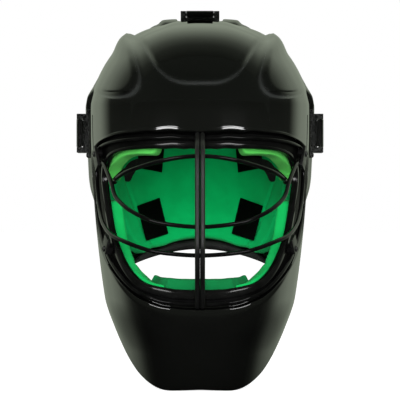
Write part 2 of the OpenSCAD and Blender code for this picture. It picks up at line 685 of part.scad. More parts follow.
module side_strap(side) color(webbing) difference() {
    side_station(side) strap(
        [for (y = strap_steps) on_side(strap_lift(side_point(y), side_lie))],
        [for (y = strap_steps) on_side(strap_lift(side_point(y), side_lie + strap_t))]);
    rivet_stations() rivet_hole();
}
module strap_left() side_strap(-1);
module strap_right() side_strap(1);

// Children are placed at a rivet, on the shell's outside with z outward.
module at_rivet(p, up) {
    across = unit(cross([0, 1, 0], up));
    along = cross(up, across);
    multmatrix([
        [across.x, along.x, up.x, p.x],
        [across.y, along.y, up.y, p.y],
        [across.z, along.z, up.z, p.z],
        [0, 0, 0, 1]])
        children();
}
module top_rivet_station(y) at_rivet(crown_point(y), outward(crown_point(y))) children();
module side_rivet_station(side, y) mirror([side < 0 ? 1 : 0, 0, 0])
    at_rivet(side_point(y), outward(side_point(y))) children();
module rivet_stations() for (y = rivet_y) {
    top_rivet_station(y) children();
    for (side = [-1, 1]) side_rivet_station(side, y) children();
}
module rivet_hole() cylinder(d = rivet_d + 0.1, h = 14);
module rivet(lie) color(steel) {
    translate([0, 0, lie - strap_gap - shell_t])
        cylinder(d = rivet_d, h = shell_t + strap_gap + strap_t + rivet_gap + 0.1);
    translate([0, 0, lie + strap_t + rivet_gap]) cylinder(d = rivet_head_d, h = rivet_head_t);
}
module strap_rivet_top_front() top_rivet_station(rivet_y[0]) rivet(top_lie);
module strap_rivet_top_rear() top_rivet_station(rivet_y[1]) rivet(top_lie);
module strap_rivet_left_front() side_rivet_station(-1, rivet_y[0]) rivet(side_lie);
module strap_rivet_left_rear() side_rivet_station(-1, rivet_y[1]) rivet(side_lie);
module strap_rivet_right_front() side_rivet_station(1, rivet_y[0]) rivet(side_lie);
module strap_rivet_right_rear() side_rivet_station(1, rivet_y[1]) rivet(side_lie);

front_shell();
face_opening_trim();
cage_frame_wire();
cage_brow_bar();
cage_eye_bar();
cage_mouth_bar();
cage_upright_left();
cage_upright_right();
cage_clip_upper_left();
cage_clip_upper_right();
cage_clip_lower_left();
cage_clip_lower_right();
clip_screw_upper_left();
clip_screw_upper_right();
clip_screw_lower_left();
clip_screw_lower_right();
forehead_pad();
crown_pad();
temple_pad_left();
temple_pad_right();
cheek_pad_left();
cheek_pad_right();
chin_pad();
back_plate();
back_pad();
neck_band();
hook_patch_upper_left();
hook_patch_upper_right();
hook_patch_lower_left();
hook_patch_lower_right();
strap_top();
strap_left();
strap_right();
strap_rivet_top_front();
strap_rivet_top_rear();
strap_rivet_left_front();
strap_rivet_left_rear();
strap_rivet_right_front();
strap_rivet_right_rear();
buckle_base_top();
buckle_base_left();
buckle_base_right();
buckle_lever_top();
buckle_lever_left();
buckle_lever_right();
buckle_pin_top();
buckle_pin_left();
buckle_pin_right();
buckle_screw_top_left();
buckle_screw_top_right();
buckle_screw_left_upper();
buckle_screw_left_lower();
buckle_screw_right_upper();
buckle_screw_right_lower();
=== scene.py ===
# %% [markdown]
# # A field hockey goalkeeper's helmet
# The real helmet is a glossy black moulded shell with a wire cage over its face opening, green
# closed-cell foam inside, and a back plate that slides on three straps and lever buckles.
# The packed CAD model gives every place and size. This script builds the finished pieces round it.

# %% The frame
import math

import bmesh
import bpy
import numpy as np
from mathutils import Matrix, Vector


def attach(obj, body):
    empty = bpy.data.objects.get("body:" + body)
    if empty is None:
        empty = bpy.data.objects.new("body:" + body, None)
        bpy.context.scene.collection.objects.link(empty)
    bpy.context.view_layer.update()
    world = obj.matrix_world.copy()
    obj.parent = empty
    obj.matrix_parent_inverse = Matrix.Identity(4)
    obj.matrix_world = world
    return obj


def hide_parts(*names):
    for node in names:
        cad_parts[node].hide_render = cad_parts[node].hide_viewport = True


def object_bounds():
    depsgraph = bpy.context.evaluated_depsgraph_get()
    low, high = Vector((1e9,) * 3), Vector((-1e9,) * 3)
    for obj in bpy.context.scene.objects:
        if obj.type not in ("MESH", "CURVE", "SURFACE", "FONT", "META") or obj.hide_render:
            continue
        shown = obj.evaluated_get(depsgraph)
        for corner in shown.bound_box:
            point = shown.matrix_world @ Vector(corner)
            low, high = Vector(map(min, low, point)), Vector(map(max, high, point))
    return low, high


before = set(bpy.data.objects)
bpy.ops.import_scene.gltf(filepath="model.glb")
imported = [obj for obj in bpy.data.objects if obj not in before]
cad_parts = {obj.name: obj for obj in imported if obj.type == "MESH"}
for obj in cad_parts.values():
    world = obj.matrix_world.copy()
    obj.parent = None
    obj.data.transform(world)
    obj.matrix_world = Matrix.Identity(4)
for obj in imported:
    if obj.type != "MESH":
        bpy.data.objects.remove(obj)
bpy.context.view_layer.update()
MM = 0.001

# %% [markdown]
# ## The shell's surface
# Shell, pads, cage and back plate all follow one rounded form, so it is worth having as a function:
# a direction from the head's centre and a height over the surface give a point. A shell could be
# sculpted by hand too, but then nothing would fit it. Lengths here are millimetres and angles are
# degrees, as in the part's source, and numpy works on whole grids of points at a time.

# %% The shell's measures
shell_w, brow_y, chin_y, rear_y, crown_z = 210.8, 116.0, 141.0, 124.0, 168.2
shell_t, step_depth, panel_rise = 3.0, 5.0, 3.4
temple_z, chin_z, nape_z = 90.0, -120.0, -90.0
jaw_slope, jaw_tuck, rear_tuck = 4.6e-4, 6.5, 20.0
dome_power, dome_lift, tuck_run = 3.5, 1.3, 45.0
plan_power, jaw_power, jaw_power_z, jaw_power_run = 2.25, 3.0, 60.0, 180.0
nearest, furthest, halvings, probe = 40.0, 330.0, 26, 0.05


def smooth(t):
    """From 0 to 1 with a soft start and a soft end."""
    t = np.clip(t, 0.0, 1.0)
    return t * t * (3 - 2 * t)


def mix(a, b, k):
    return a + (b - a) * k


def unit(v):
    return v / np.linalg.norm(v, axis=-1, keepdims=True)


print("shell:", shell_w, "mm wide, from", -chin_y, "to", rear_y, "mm, crown at", crown_z)

# %% The form as a function
def half_width(z):
    low = np.maximum(0, temple_z - z)
    return shell_w / 2 - jaw_slope * low**2 - jaw_tuck * smooth((nape_z - z) / tuck_run)


def rear_reach(z):
    return rear_y - rear_tuck * smooth((temple_z - z) / (temple_z - nape_z))


def shell_level(p):
    """Below 0 inside the shell's outside, above 0 outside it."""
    x, y, z = abs(p[..., 0]), p[..., 1], p[..., 2]
    squarer = mix(plan_power, jaw_power, smooth((jaw_power_z - z) / jaw_power_run))
    power = np.where(y < 0, squarer, plan_power)
    front = mix(brow_y, chin_y, smooth((temple_z - z) / (temple_z - chin_z)))
    reach = np.where(y < 0, front, rear_reach(z))
    r = ((x / half_width(z)) ** power + (abs(y) / reach) ** power) ** (1 / power)
    u = np.maximum(0, (z - temple_z) / (crown_z - temple_z))
    return r**dome_power + u**dome_lift - 1


def on_shell(d):
    """The surface's point along each direction, found by halving the range where it must lie."""
    near, far = np.full(d.shape[:-1], nearest), np.full(d.shape[:-1], furthest)
    for _ in range(halvings):
        r = (near + far) / 2
        outside = shell_level(d * r[..., None]) > 0
        near, far = np.where(outside, near, r), np.where(outside, r, far)
    return d * near[..., None]


def outward(p):
    e = np.eye(3) * probe
    return unit(np.stack([shell_level(p + e[k]) - shell_level(p - e[k]) for k in range(3)], -1))


def over_shell(d, height):
    """The point over the surface along each direction."""
    p = on_shell(unit(d))
    return p + np.asarray(height)[..., None] * outward(p)


print("crown:", over_shell(np.array([0, 0, 1.0]), 0.0).round(1))

# %% [markdown]
# ## The outlines
# The face opening, the cage's wire and the shell's rear edge are lines round the face. Each is a
# table of angles: round the face (0 up, 90 to the side, 180 down) and off straight ahead. The tables
# are few points, so they are rounded by averaging over a few degrees before they are used.

# %% Tables of the three lines
opening_line = [[0, 21.9], [19, 23.2], [35, 27], [45, 31.6], [52, 36.7], [57, 42], [61, 47.6],
    [65, 53.2], [69, 57], [75, 59.2], [80, 58.1], [85, 55.7], [91, 52.9], [96, 51.1],
    [102, 49.3], [108, 47.5], [114, 45.4], [120, 43.1], [128, 40.7], [134, 38.8], [140, 37],
    [151, 33.5], [158, 32], [169, 30.7], [180, 30.2]]
wire_line = [[0, 24.7], [17, 26.2], [34, 30.5], [46, 37.2], [52, 43], [57, 49.8], [61, 58],
    [65, 67], [70, 73], [81, 74.5], [94, 73], [104, 66.5], [112, 58], [120, 50.5], [128, 45],
    [135, 41.6], [141, 39.4], [152, 36], [166, 33.7], [180, 33]]
rear_line = [[0, 100], [60, 100.5], [90, 102], [110, 102], [120, 101], [129, 96.5], [139, 81.5],
    [147, 67.5], [154, 58.6], [158, 56], [164, 52.9], [173, 50], [180, 49.5]]
print("points in the tables:", len(opening_line), len(wire_line), len(rear_line))

# %% Lines round the face
def rounded_table(points, low, high, spread, step=0.5):
    """A table of pairs as a function whose corners are rounded over some degrees."""
    at = np.arange(low, high + step, step)
    values = np.interp(at, *np.array(points, float).T)
    reach = int(3 * spread / step)
    weight = np.exp(-0.5 * (np.arange(-reach, reach + 1) * step / spread) ** 2)
    padded = np.pad(values, reach, mode="reflect", reflect_type="odd")
    values = np.convolve(padded, weight / weight.sum(), mode="valid")
    return lambda x: np.interp(x, at, values)


def round_face(points, spread=2.2):
    """One half's table as a function of the whole way round, mirrored and repeated."""
    mirrored = [[-t, a] for t, a in points[:0:-1]] + points
    before, after = ([[t + turn, a] for t, a in mirrored] for turn in (-360, 360))
    beyond = before + mirrored[1:] + after[1:]
    line = rounded_table(beyond, -540, 540, spread)
    return lambda t: line((np.asarray(t, float) + 180) % 360 - 180)


opening_at, wire_at, rear_at = (round_face(line) for line in (opening_line, wire_line, rear_line))
print("opening at the side:", round(float(opening_at(90)), 1), "wire:", round(float(wire_at(90)), 1))

# %% The step beside the wire
step_margin, chin_margin, step_width, chin_step_width = 2.5, 1.35, 1.6, 0.5
chin_from, chin_run = 116.0, 24.0


def off_top(t):
    """Degrees round the face from straight up, the same on both sides."""
    return abs((np.asarray(t) + 180) % 360 - 180)


def chin_share(t):
    return smooth((off_top(t) - chin_from) / chin_run)


def wall_at(t):
    """The step's wall: beside the wire, and further off where the wire runs aslant."""
    slant = (wire_at(t + 3) - wire_at(t - 3)) / 6 / np.sin(np.radians(wire_at(t)))
    return wire_at(t) + mix(step_margin, chin_margin, chin_share(t)) * np.minimum(2, np.hypot(1, slant))


def step_at(a, t):
    return step_depth * smooth((wall_at(t) - a) / mix(step_width, chin_step_width, chin_share(t)))


def from_front(a, t):
    """The direction at an angle off straight ahead and an angle round the face."""
    a, t = np.radians(a), np.radians(t)
    return np.stack([np.sin(a) * np.sin(t), -np.cos(a), np.sin(a) * np.cos(t)], -1)


def from_back(a, t):
    return from_front(a, t) * [1, -1, 1]


print("step's wall at the brow and the chin:", [round(float(wall_at(t)), 1) for t in (0, 180)])

# %% [markdown]
# ## Turning a flat grid into a piece
# Every curved piece starts as a flat grid or block from a bmesh operator. Each vertex keeps its place
# in the unit square until one call moves them all onto the form. That keeps the mesh regular, which a
# glossy surface needs: a crooked quad would show at once in a reflection.

# %% Objects from meshes
SIDES = ((-1, "left"), (1, "right"))


def linked(name, data):
    """An object in the scene's collection."""
    made = bpy.data.objects.new(name, data)
    bpy.context.scene.collection.objects.link(made)
    return made


def as_object(name, bm):
    """Turns a bmesh into an object and frees it."""
    mesh = bpy.data.meshes.new(name)
    bm.to_mesh(mesh)
    bm.free()
    return linked(name, mesh)


def moved(bm, place):
    """Moves all vertices at once: place turns an array of points into an array of points."""
    points = place(np.array([v.co for v in bm.verts], float))
    for vertex, point in zip(bm.verts, points):
        vertex.co = point
    return bm


def finished(name, bm, material, body="front_shell", stands_for=(), slot=None, sharp=None):
    """Makes the object, gives it its material and ties it to its CAD body."""
    bmesh.ops.recalc_face_normals(bm, faces=bm.faces)
    for face in bm.faces:
        face.smooth = True
    piece = as_object(name, bm)
    mesh = piece.data
    if sharp is not None:
        mesh.set_sharp_from_angle(angle=math.radians(sharp))
    mesh.materials.append(material)
    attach(piece, body)
    if stands_for:
        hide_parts(*stands_for)
    print(name, len(mesh.polygons), "faces")
    return piece


print("ready:", finished.__doc__)

# %% A grid wrapped round the face
def wrapped_grid(points, wrap_rows=True, **masks):
    """A grid whose vertex (i, j) lies at points[i, j]; a wrapped side repeats its first line."""
    given_rows, given_columns = points.shape[:2]
    points = np.concatenate([points, points[:1]]) if wrap_rows else points
    points = np.concatenate([points, points[:, :1]], axis=1)
    rows, columns = points.shape[0] - 1, points.shape[1] - 1
    bm = bmesh.new()
    bmesh.ops.create_grid(bm, x_segments=rows, y_segments=columns, size=0.5)

    flat = np.array([v.co for v in bm.verts])
    i = np.rint((flat[:, 0] + 0.5) * rows).astype(int)
    j = np.rint((flat[:, 1] + 0.5) * columns).astype(int)
    for name, mask in masks.items():
        layer = bm.verts.layers.float.new(name)
        for vertex, value in zip(bm.verts, mask[i % given_rows, j % given_columns]):
            vertex[layer] = value
    moved(bm, lambda _: points[i, j] * MM)
    bmesh.ops.remove_doubles(bm, verts=bm.verts, dist=2e-6)
    return bm


def measured(piece, along, across):
    """Stores millimetres along and across the piece, for a weave that follows it."""
    for name, values in (("along", along), ("across", across)):
        attribute = piece.data.attributes.new(name, "FLOAT", "POINT")
        attribute.data.foreach_set("value", np.asarray(values, np.float32))


print("ready:", wrapped_grid.__doc__)

# %% [markdown]
# ## Materials: shared effects
# Grain, wear and dust come back in several finishes, so each is a node group that is built once and
# placed with its own values. A group gives out only heights and masks. The shader itself, and every
# value that is the same all over, stays in the material, where an export can read it.

# %% Node helpers
def add(tree, kind, inputs=None, **settings):
    """A new node; an input is either a value or a socket to link."""
    node = tree.nodes.new(kind)
    for key, value in settings.items():
        setattr(node, key, value)
    for key, value in (inputs or {}).items():
        if isinstance(value, bpy.types.NodeSocket):
            tree.links.new(value, node.inputs[key])
        else:
            node.inputs[key].default_value = value
    return node


def maths(tree, operation, a, b=0.0):
    return add(tree, "ShaderNodeMath", {0: a, 1: b}, operation=operation).outputs[0]


def ranged(tree, value, low, high, to_low=0.0, to_high=1.0):
    return add(tree, "ShaderNodeMapRange", {"Value": value, "From Min": low, "From Max": high,
        "To Min": to_low, "To Max": to_high}, interpolation_type="SMOOTHSTEP").outputs[0]


def noise(tree, where, scale, detail=3.0, roughness=0.55):
    return add(tree, "ShaderNodeTexNoise", {"Vector": where, "Scale": scale, "Detail": detail,
        "Roughness": roughness}).outputs["Fac"]


def object_place(tree):
    return add(tree, "ShaderNodeTexCoord").outputs["Object"]


def between(tree, factor, low, high):
    """A colour between two, by a mask."""
    node = add(tree, "ShaderNodeMix", {0: factor}, data_type="RGBA")
    node.inputs[6].default_value = (*low, 1)
    node.inputs[7].default_value = (*high, 1)
    return node.outputs[2]


def times(tree, a, b):
    return maths(tree, "MULTIPLY", a, b)


def seen_directly(tree, path):
    """1 for what the camera sees, also through something clear."""
    return maths(tree, "MAXIMUM", path["Is Camera Ray"], path["Is Transmission Ray"])


print("ready:", between.__doc__)

# %% Node groups
def effect(name, inputs, outputs):
    """A node group with number sockets only: its tree, its inputs and its outputs."""
    tree = bpy.data.node_groups.new(name, "ShaderNodeTree")
    for label, value in inputs.items():
        socket = tree.interface.new_socket(name=label, in_out="INPUT", socket_type="NodeSocketFloat")
        socket.default_value = value
    for label in outputs:
        tree.interface.new_socket(name=label, in_out="OUTPUT", socket_type="NodeSocketFloat")
    return tree, tree.nodes.new("NodeGroupInput").outputs, tree.nodes.new("NodeGroupOutput").inputs


def placed(tree, group, **values):
    """A node group in a material, with its own values."""
    return add(tree, "ShaderNodeGroup", {k.replace("_", " "): v for k, v in values.items()},
        node_tree=group).outputs


print("ready:", effect.__doc__)

# %% Three shared effects
grain, given, out = effect("fine_grain", {"Scale": 900.0, "Coarse Scale": 60.0}, ["Height", "Blotch"])
where = object_place(grain)
fine = noise(grain, where, given["Scale"], 5)
blotch = noise(grain, where, given["Coarse Scale"], 3)
grain.links.new(maths(grain, "ADD", fine, times(grain, blotch, 0.35)), out["Height"])
grain.links.new(blotch, out["Blotch"])

wear, given, out = effect("edge_wear", {"From": 0.52, "To": 0.6, "Break Up": 300.0}, ["Mask"])
point = add(wear, "ShaderNodeNewGeometry").outputs["Pointiness"]
broken = ranged(wear, noise(wear, object_place(wear), given["Break Up"], 4), 0.42, 0.62)
edge = ranged(wear, point, given["From"], given["To"])
wear.links.new(times(wear, edge, broken), out["Mask"])

dust, given, out = effect("settled_dust", {"Scale": 240.0, "Amount": 0.5}, ["Mask"])
up = add(dust, "ShaderNodeSeparateXYZ", {0: add(dust, "ShaderNodeNewGeometry").outputs["Normal"]})
lying = ranged(dust, up.outputs["Z"], 0.1, 0.9)
specks = ranged(dust, noise(dust, object_place(dust), given["Scale"], 6, 0.7), 0.56, 0.75)
dust.links.new(times(dust, times(dust, lying, specks), given["Amount"]), out["Mask"])
print("effects:", [g.name for g in bpy.data.node_groups])

# %% [markdown]
# ## Materials: the finishes
# The shell is gloss black plastic: nearly no colour of its own, and a clear reflection with the very
# slight waviness of a moulding. The foam is closed-cell and dyed through, matt with fine pores. The
# wires are powder coated, which leaves a rounded, faintly pebbled gloss, duller on the two uprights.

# %% A finish from its values
def grey(level):
    return level, level, level


def finish(name, low, high, roughness, rough_by, bump, distance, scale, coarse, **shader_values):
    """Colour and roughness vary with the grain's blotches, and its height gives the bump."""
    material = bpy.data.materials.new(name)
    material.use_nodes = True
    tree = material.node_tree
    shader = tree.nodes["Principled BSDF"]
    made = placed(tree, grain, Scale=scale, Coarse_Scale=coarse)
    colour = between(tree, ranged(tree, made["Blotch"], 0.35, 0.65), low, high)
    tree.links.new(colour, shader.inputs["Base Color"])
    rough = ranged(tree, made["Blotch"], 0.3, 0.7, roughness, roughness + rough_by)
    tree.links.new(rough, shader.inputs["Roughness"])
    raised = add(tree, "ShaderNodeBump", {"Strength": bump, "Distance": distance,
        "Height": made["Height"]})
    tree.links.new(raised.outputs["Normal"], shader.inputs["Normal"])
    for key, value in shader_values.items():
        shader.inputs[key.replace("_", " ")].default_value = value
    return material, tree, shader


print("ready:", finish.__doc__)

# %% Layers over a finish
def coated(tree, shader, mask, colour):
    """Lays another colour over the one that the shader has, where the mask says."""
    plain = shader.inputs["Base Color"].links[0].from_socket
    layer = add(tree, "ShaderNodeMix", {0: mask, 6: plain}, data_type="RGBA")
    layer.inputs[7].default_value = (*colour, 1)
    tree.links.new(layer.outputs[2], shader.inputs["Base Color"])


def roughened(tree, shader, mask, amount):
    rough = shader.inputs["Roughness"].links[0].from_socket
    tree.links.new(maths(tree, "ADD", rough, times(tree, mask, amount)), shader.inputs["Roughness"])


def dented(tree, shader, height, strength, distance):
    """Adds a bump over the one that the shader has."""
    under = shader.inputs["Normal"].links[0].from_node
    bump = add(tree, "ShaderNodeBump", {"Strength": strength, "Distance": distance, "Height": height,
        "Normal": under.outputs["Normal"]})
    tree.links.new(bump.outputs["Normal"], shader.inputs["Normal"])


def worn(tree, shader, worn_colour, **values):
    """Puts worn edges over a finish."""
    mask = placed(tree, wear, **values)["Mask"]
    coated(tree, shader, mask, worn_colour)
    roughened(tree, shader, mask, 0.1)


def dusty(tree, shader, amount, scale):
    """Dulls what faces up with specks of dust."""
    mask = placed(tree, dust, Amount=amount, Scale=scale)["Mask"]
    roughened(tree, shader, mask, 0.25)


print("ready:", worn.__doc__, dusty.__doc__)

# %% The shell's gloss, with a painted highlight: a lighter, rougher band along its panels' edges
highlight_band_depth, highlight_band_half = 0.75, 0.55
shell_gloss, tree, shader = finish("shell_gloss", grey(0.0007), grey(0.001),
    0.05, 0.03, 0.05, 0.0002, 90.0, 12.0, IOR=1.49)
worn(tree, shader, (0.02, 0.021, 0.02), From=0.56, To=0.72, Break_Up=420.0)
dusty(tree, shader, 0.12, 900.0)
lines = []
for name in ("middle_depth", "side_depth"):
    depth = add(tree, "ShaderNodeAttribute", attribute_name=name).outputs["Fac"]
    off = maths(tree, "DIVIDE", maths(tree, "SUBTRACT", depth, highlight_band_depth), highlight_band_half)
    lines.append(maths(tree, "POWER", 2.718, times(tree, times(tree, off, off), -1.0)))
painted_highlight_band = maths(tree, "MAXIMUM", *lines)
# painted highlight: the panels' edge slopes get a lighter grey, and a rougher gloss as well
coated(tree, shader, painted_highlight_band, (0.024, 0.026, 0.025))
roughened(tree, shader, painted_highlight_band, 0.12)

print("shell_gloss:", len(tree.nodes), "nodes")

# %% The other mouldings, the wires and the rubbers
recess_satin, tree, shader = finish("recess_satin", grey(0.001), grey(0.002),
    0.4, 0.12, 0.2, 0.0002, 700.0, 60.0, IOR=1.08)
worn(tree, shader, (0.03, 0.031, 0.03), From=0.54, To=0.66, Break_Up=500.0)

plate_gloss, tree, shader = finish("plate_gloss", grey(0.0012), grey(0.0018),
    0.1, 0.05, 0.06, 0.0002, 110.0, 14.0, IOR=1.49)
worn(tree, shader, (0.02, 0.021, 0.02), From=0.56, To=0.72, Break_Up=420.0)
dusty(tree, shader, 0.2, 900.0)

coated_wire, tree, shader = finish("coated_wire", grey(0.001), grey(0.002),
    0.1, 0.04, 0.12, 0.0001, 900.0, 120.0, IOR=1.2)
dusty(tree, shader, 0.2, 1400.0)
upright_coat, tree, shader = finish("upright_coat", grey(0.001), grey(0.002),
    0.42, 0.06, 0.12, 0.0001, 900.0, 120.0, IOR=1.42)
dusty(tree, shader, 0.2, 1400.0)

clip_plastic, tree, shader = finish("clip_plastic", grey(0.002), grey(0.004),
    0.3, 0.1, 0.3, 0.00015, 2200.0, 160.0, IOR=1.3)
worn(tree, shader, (0.03, 0.031, 0.03), From=0.53, To=0.62, Break_Up=700.0)

buckle_plastic, tree, shader = finish("buckle_plastic", grey(0.001), grey(0.002),
    0.26, 0.1, 0.3, 0.00015, 2000.0, 150.0, IOR=1.35)
worn(tree, shader, (0.02, 0.021, 0.02), From=0.53, To=0.62, Break_Up=700.0)
dusty(tree, shader, 0.3, 1500.0)

edge_rubber, tree, shader = finish("edge_rubber", grey(0.0012), grey(0.0022),
    0.12, 0.04, 0.1, 0.0001, 1500.0, 90.0, IOR=1.27)
dusty(tree, shader, 0.25, 1500.0)

band_rubber, tree, shader = finish("band_rubber", grey(0.006), grey(0.012),
    0.6, 0.15, 0.4, 0.0003, 1200.0, 90.0, IOR=1.5)
dusty(tree, shader, 0.5, 1200.0)

print("with dust:", [m.name for m in (plate_gloss, coated_wire, upright_coat, buckle_plastic)])

# %% Metals
steel = finish("steel", (0.5, 0.5, 0.49), (0.62, 0.61, 0.6),
    0.3, 0.12, 0.2, 0.0001, 2500.0, 200.0, Metallic=1.0)[0]
black_screw = finish("blackened_screw", grey(0.01), grey(0.02),
    0.35, 0.1, 0.2, 0.0001, 2500.0, 200.0, Metallic=0.6)[0]
print("finishes:", [m.name for m in bpy.data.materials if not m.name.startswith("Material")])

# %% [markdown]
# Foam, webbing and hook tape each have a structure of their own. Foam has cells, so a Voronoi pattern
# a fraction of a millimetre wide dents it under the noise. Webbing is woven: its ribs run across the
# strap and its warp threads along it, so it needs to know both ways and reads them from the piece.
# Hook tape is a field of stiff hooks in rows on a flat tape.

# %% Foam
def foam(name, low, high):
    material, tree, shader = finish(name, low, high, 0.68, 0.1, 0.5, 0.0003, 1500.0, 45.0,
        Specular_IOR_Level=0.1, Sheen_Weight=0.02, Sheen_Roughness=0.6)
    cells = add(tree, "ShaderNodeTexVoronoi", {"Vector": object_place(tree), "Scale": 1700.0})
    dented(tree, shader, cells.outputs["Distance"], 0.25, 0.0003)
    return material


green_foam = foam("green_foam", (0.0006, 0.33, 0.078), (0.0009, 0.37, 0.09))
# painted shade and painted light: the jaw, temple and chin pads are the same dyed green foam; the darker
# jaw and chin copies paint shade, and the lighter, yellower temple copy paints light
jaw_foam_painted_shade = foam("jaw_foam_painted_shade", (0.001, 0.25, 0.052), (0.002, 0.29, 0.062))
temple_foam_painted_light = foam("temple_foam_painted_light", (0.045, 0.28, 0.045), (0.055, 0.33, 0.055))
chin_foam_painted_shade = foam("chin_foam_painted_shade", (0.0005, 0.09, 0.022), (0.001, 0.11, 0.028))
print("foams:", [m.name for m in bpy.data.materials if "foam" in m.name])

# %% Webbing and hook tape
def woven(name, low, high, rib, thread, bump, roughness, sheen):
    """A weave in millimetres along and across the piece, read from its own attributes."""
    material, tree, shader = finish(name, low, high, roughness, 0.1, 0.2, 0.0001, 3000.0, 200.0,
        Sheen_Weight=sheen, Sheen_Roughness=0.4, Specular_IOR_Level=0.15)
    along = add(tree, "ShaderNodeAttribute", attribute_name="along").outputs["Fac"]
    across = add(tree, "ShaderNodeAttribute", attribute_name="across").outputs["Fac"]
    row = times(tree, along, 2 * math.pi / rib)
    warp = times(tree, across, 2 * math.pi / thread)
    every_other = maths(tree, "SIGN", maths(tree, "SINE", times(tree, warp, 0.5)))
    alternate = maths(tree, "SINE", maths(tree, "ADD", row, times(tree, every_other, 1.2)))
    height = maths(tree, "ADD", times(tree, alternate, 0.6),
        maths(tree, "ABSOLUTE", maths(tree, "COSINE", times(tree, warp, 0.5))))
    dented(tree, shader, height, bump, 0.0004)
    colour = between(tree, ranged(tree, height, -0.4, 1.4), low, high)
    tree.links.new(colour, shader.inputs["Base Color"])
    return material


webbing = woven("webbing", grey(0.0015), grey(0.006), 1.9, 1.1, 0.7, 0.6, 0.03)
hook_tape = woven("hook_tape", grey(0.0003), grey(0.0012), 1.2, 1.2, 1.0, 0.75, 0.0)
print("woven:", webbing.name, hook_tape.name)

# %% [markdown]
# ## The front shell
# One moulding makes the crown, the sides and the chin guard. Its section, from the opening's edge over
# the outside to the rear edge and back along the inside, is one closed line, and a grid wraps that line
# round the face. The raised panels on the crown and the step for the cage are heights over the form.

# %% Panels and edges as heights
panel_edge, panel_seat, panel_corner, panel_flare_v = 3.0, (80, 94), 9.0, 43.0
middle_half, middle_flare, middle_foot = 13.6, 0.56, 42.0
side_inner, side_flare, side_foot, side_sweep, side_sweep_u = 20.6, 0.29, 40.2, 0.018, 26.0
shoulder_rise, flank_rise, flank_turn, flank_run, rise_from, rise_run = 1.75, 0.3, 25, 6.5, 62, 16
crown_from, crown_run, crown_fall, crown_middle = 64, 10, 0.3, 9
seat_from, seat_run, seat_to, seat_end_run, seat_fade = 10, 8, 46, 4, 5
bead_w, bead_rise, roll_w, roll_drop = 1.4, 0.62, 1.6, 0.35
brow_end, brow_fade = 62.0, 14.0


def round_min(a, b, k):
    """The smaller of two, with the corner between them rounded over k."""
    h = np.maximum(k - abs(a - b), 0) / k
    return np.minimum(a, b) - h * h * k / 4


def edge_roll(a, t):
    """A slight bead over the brow and a soft roll-off at the chin draw a glint along the edge."""
    brow = smooth((brow_end - off_top(t)) / brow_fade)
    x = np.clip(1 - (a - wall_at(t)) / bead_w, 0, 1)
    y = np.clip(1 - (a - wall_at(t)) / roll_w, 0, 1)
    return bead_rise * brow * (x - 0.75 * x * x) - roll_drop * chin_share(t) * y * y


def panel_depths(a, t):
    """How far inside the middle and the side panel a place lies, in degrees across and up."""
    u, v = abs(a * np.sin(np.radians(t))), a * np.cos(np.radians(t))
    up = v - panel_flare_v
    middle = round_min(middle_half + middle_flare * up - u, v - middle_foot, panel_corner)
    swept_foot = side_foot + side_sweep * np.maximum(0, u - side_sweep_u) ** 2
    side = round_min(u - (side_inner + side_flare * up), v - swept_foot, panel_corner)
    return u, middle, side


def panel_at(a, t):
    """The crown's raised panels."""
    turn = off_top(t)
    u, middle, side = panel_depths(a, t)
    low = smooth((turn - flank_turn) / flank_run)
    side_rise = mix(1, mix(shoulder_rise, flank_rise, low), smooth((a - rise_from) / rise_run))
    beside = mix(crown_fall, 1, smooth((u - crown_middle) / crown_middle))
    crown_share = 1 - smooth((a - crown_from) / crown_run) * beside
    to_side = smooth((turn - seat_from) / seat_run) * smooth((seat_to - turn) / seat_end_run)
    seat = mix(*panel_seat, to_side)
    rise = np.maximum(crown_share * smooth(middle / panel_edge), side_rise * smooth(side / panel_edge))
    return panel_rise * rise * smooth((seat - a) / seat_fade)


print("middle panel's depth straight up:", panel_depths(np.array(60.0), np.array(0.0))[1].round(1))

# %% The shell's closed section, wrapped round the face
rim, round_rows, outer_inset = 0.4, 400, 9.0
t = np.linspace(-180, 180, round_rows, endpoint=False)
edge, wall, rear = opening_at(t) + rim, wall_at(t), rear_at(t) - rim
# the loops are close in the step and on its edge, and wide over the sides
outside = np.concatenate([
    np.linspace(edge, wall - step_width, 10),
    np.linspace(wall - step_width, wall + 0.2, 15)[1:],
    np.linspace(wall + 0.2, wall + 2.4, 15)[1:],
    np.linspace(wall + 2.4, rear, 76)[1:]])
inside = np.concatenate([
    np.linspace(rear, wall + 0.3, 36),
    np.linspace(wall + 0.3, wall - step_width, 8)[1:],
    np.linspace(wall - step_width, edge, 6)[1:]])
turn = np.radians(np.linspace(90, -90, 7)[1:-1])[:, None]
rear_rim = rear + rim * np.cos(turn)
front_rim = edge - rim * np.cos(turn[::-1])
out_height = panel_at(outside, t) - step_at(outside, t) + edge_roll(np.maximum(outside, wall), t)
in_height = panel_at(inside, t) - step_at(inside, t) - shell_t
rear_height = shell_t / 2 * (np.sin(turn) - 1) + 0 * rear_rim
front_height = -step_depth + shell_t / 2 * (np.sin(turn[::-1]) - 1) + 0 * front_rim
angles = np.concatenate([outside, rear_rim, inside, front_rim]).T
heights = np.concatenate([out_height, rear_height, in_height, front_height]).T
around = np.repeat(t[:, None], angles.shape[1], axis=1)
front_count = outside.shape[0]
inner = (np.arange(angles.shape[1]) >= front_count) * outer_inset
_, middle, side = (np.clip(depth, -9, 9) - inner for depth in panel_depths(angles, around))
recess = smooth((wall_at(t)[:, None] - 1.0 - angles) / 0.4)
bm = wrapped_grid(over_shell(from_front(angles, around), heights),
    middle_depth=middle, side_depth=side, recess=recess)
front_shell = finished("front_shell_moulding", bm, shell_gloss, "front_shell", ["front_shell"],
    "shell_gloss")
front_shell.data.materials.append(recess_satin)
recess = np.array([d.value for d in front_shell.data.attributes["recess"].data])
corners = np.array([list(f.vertices) for f in front_shell.data.polygons])
satin = recess[corners].mean(1) > 0.5
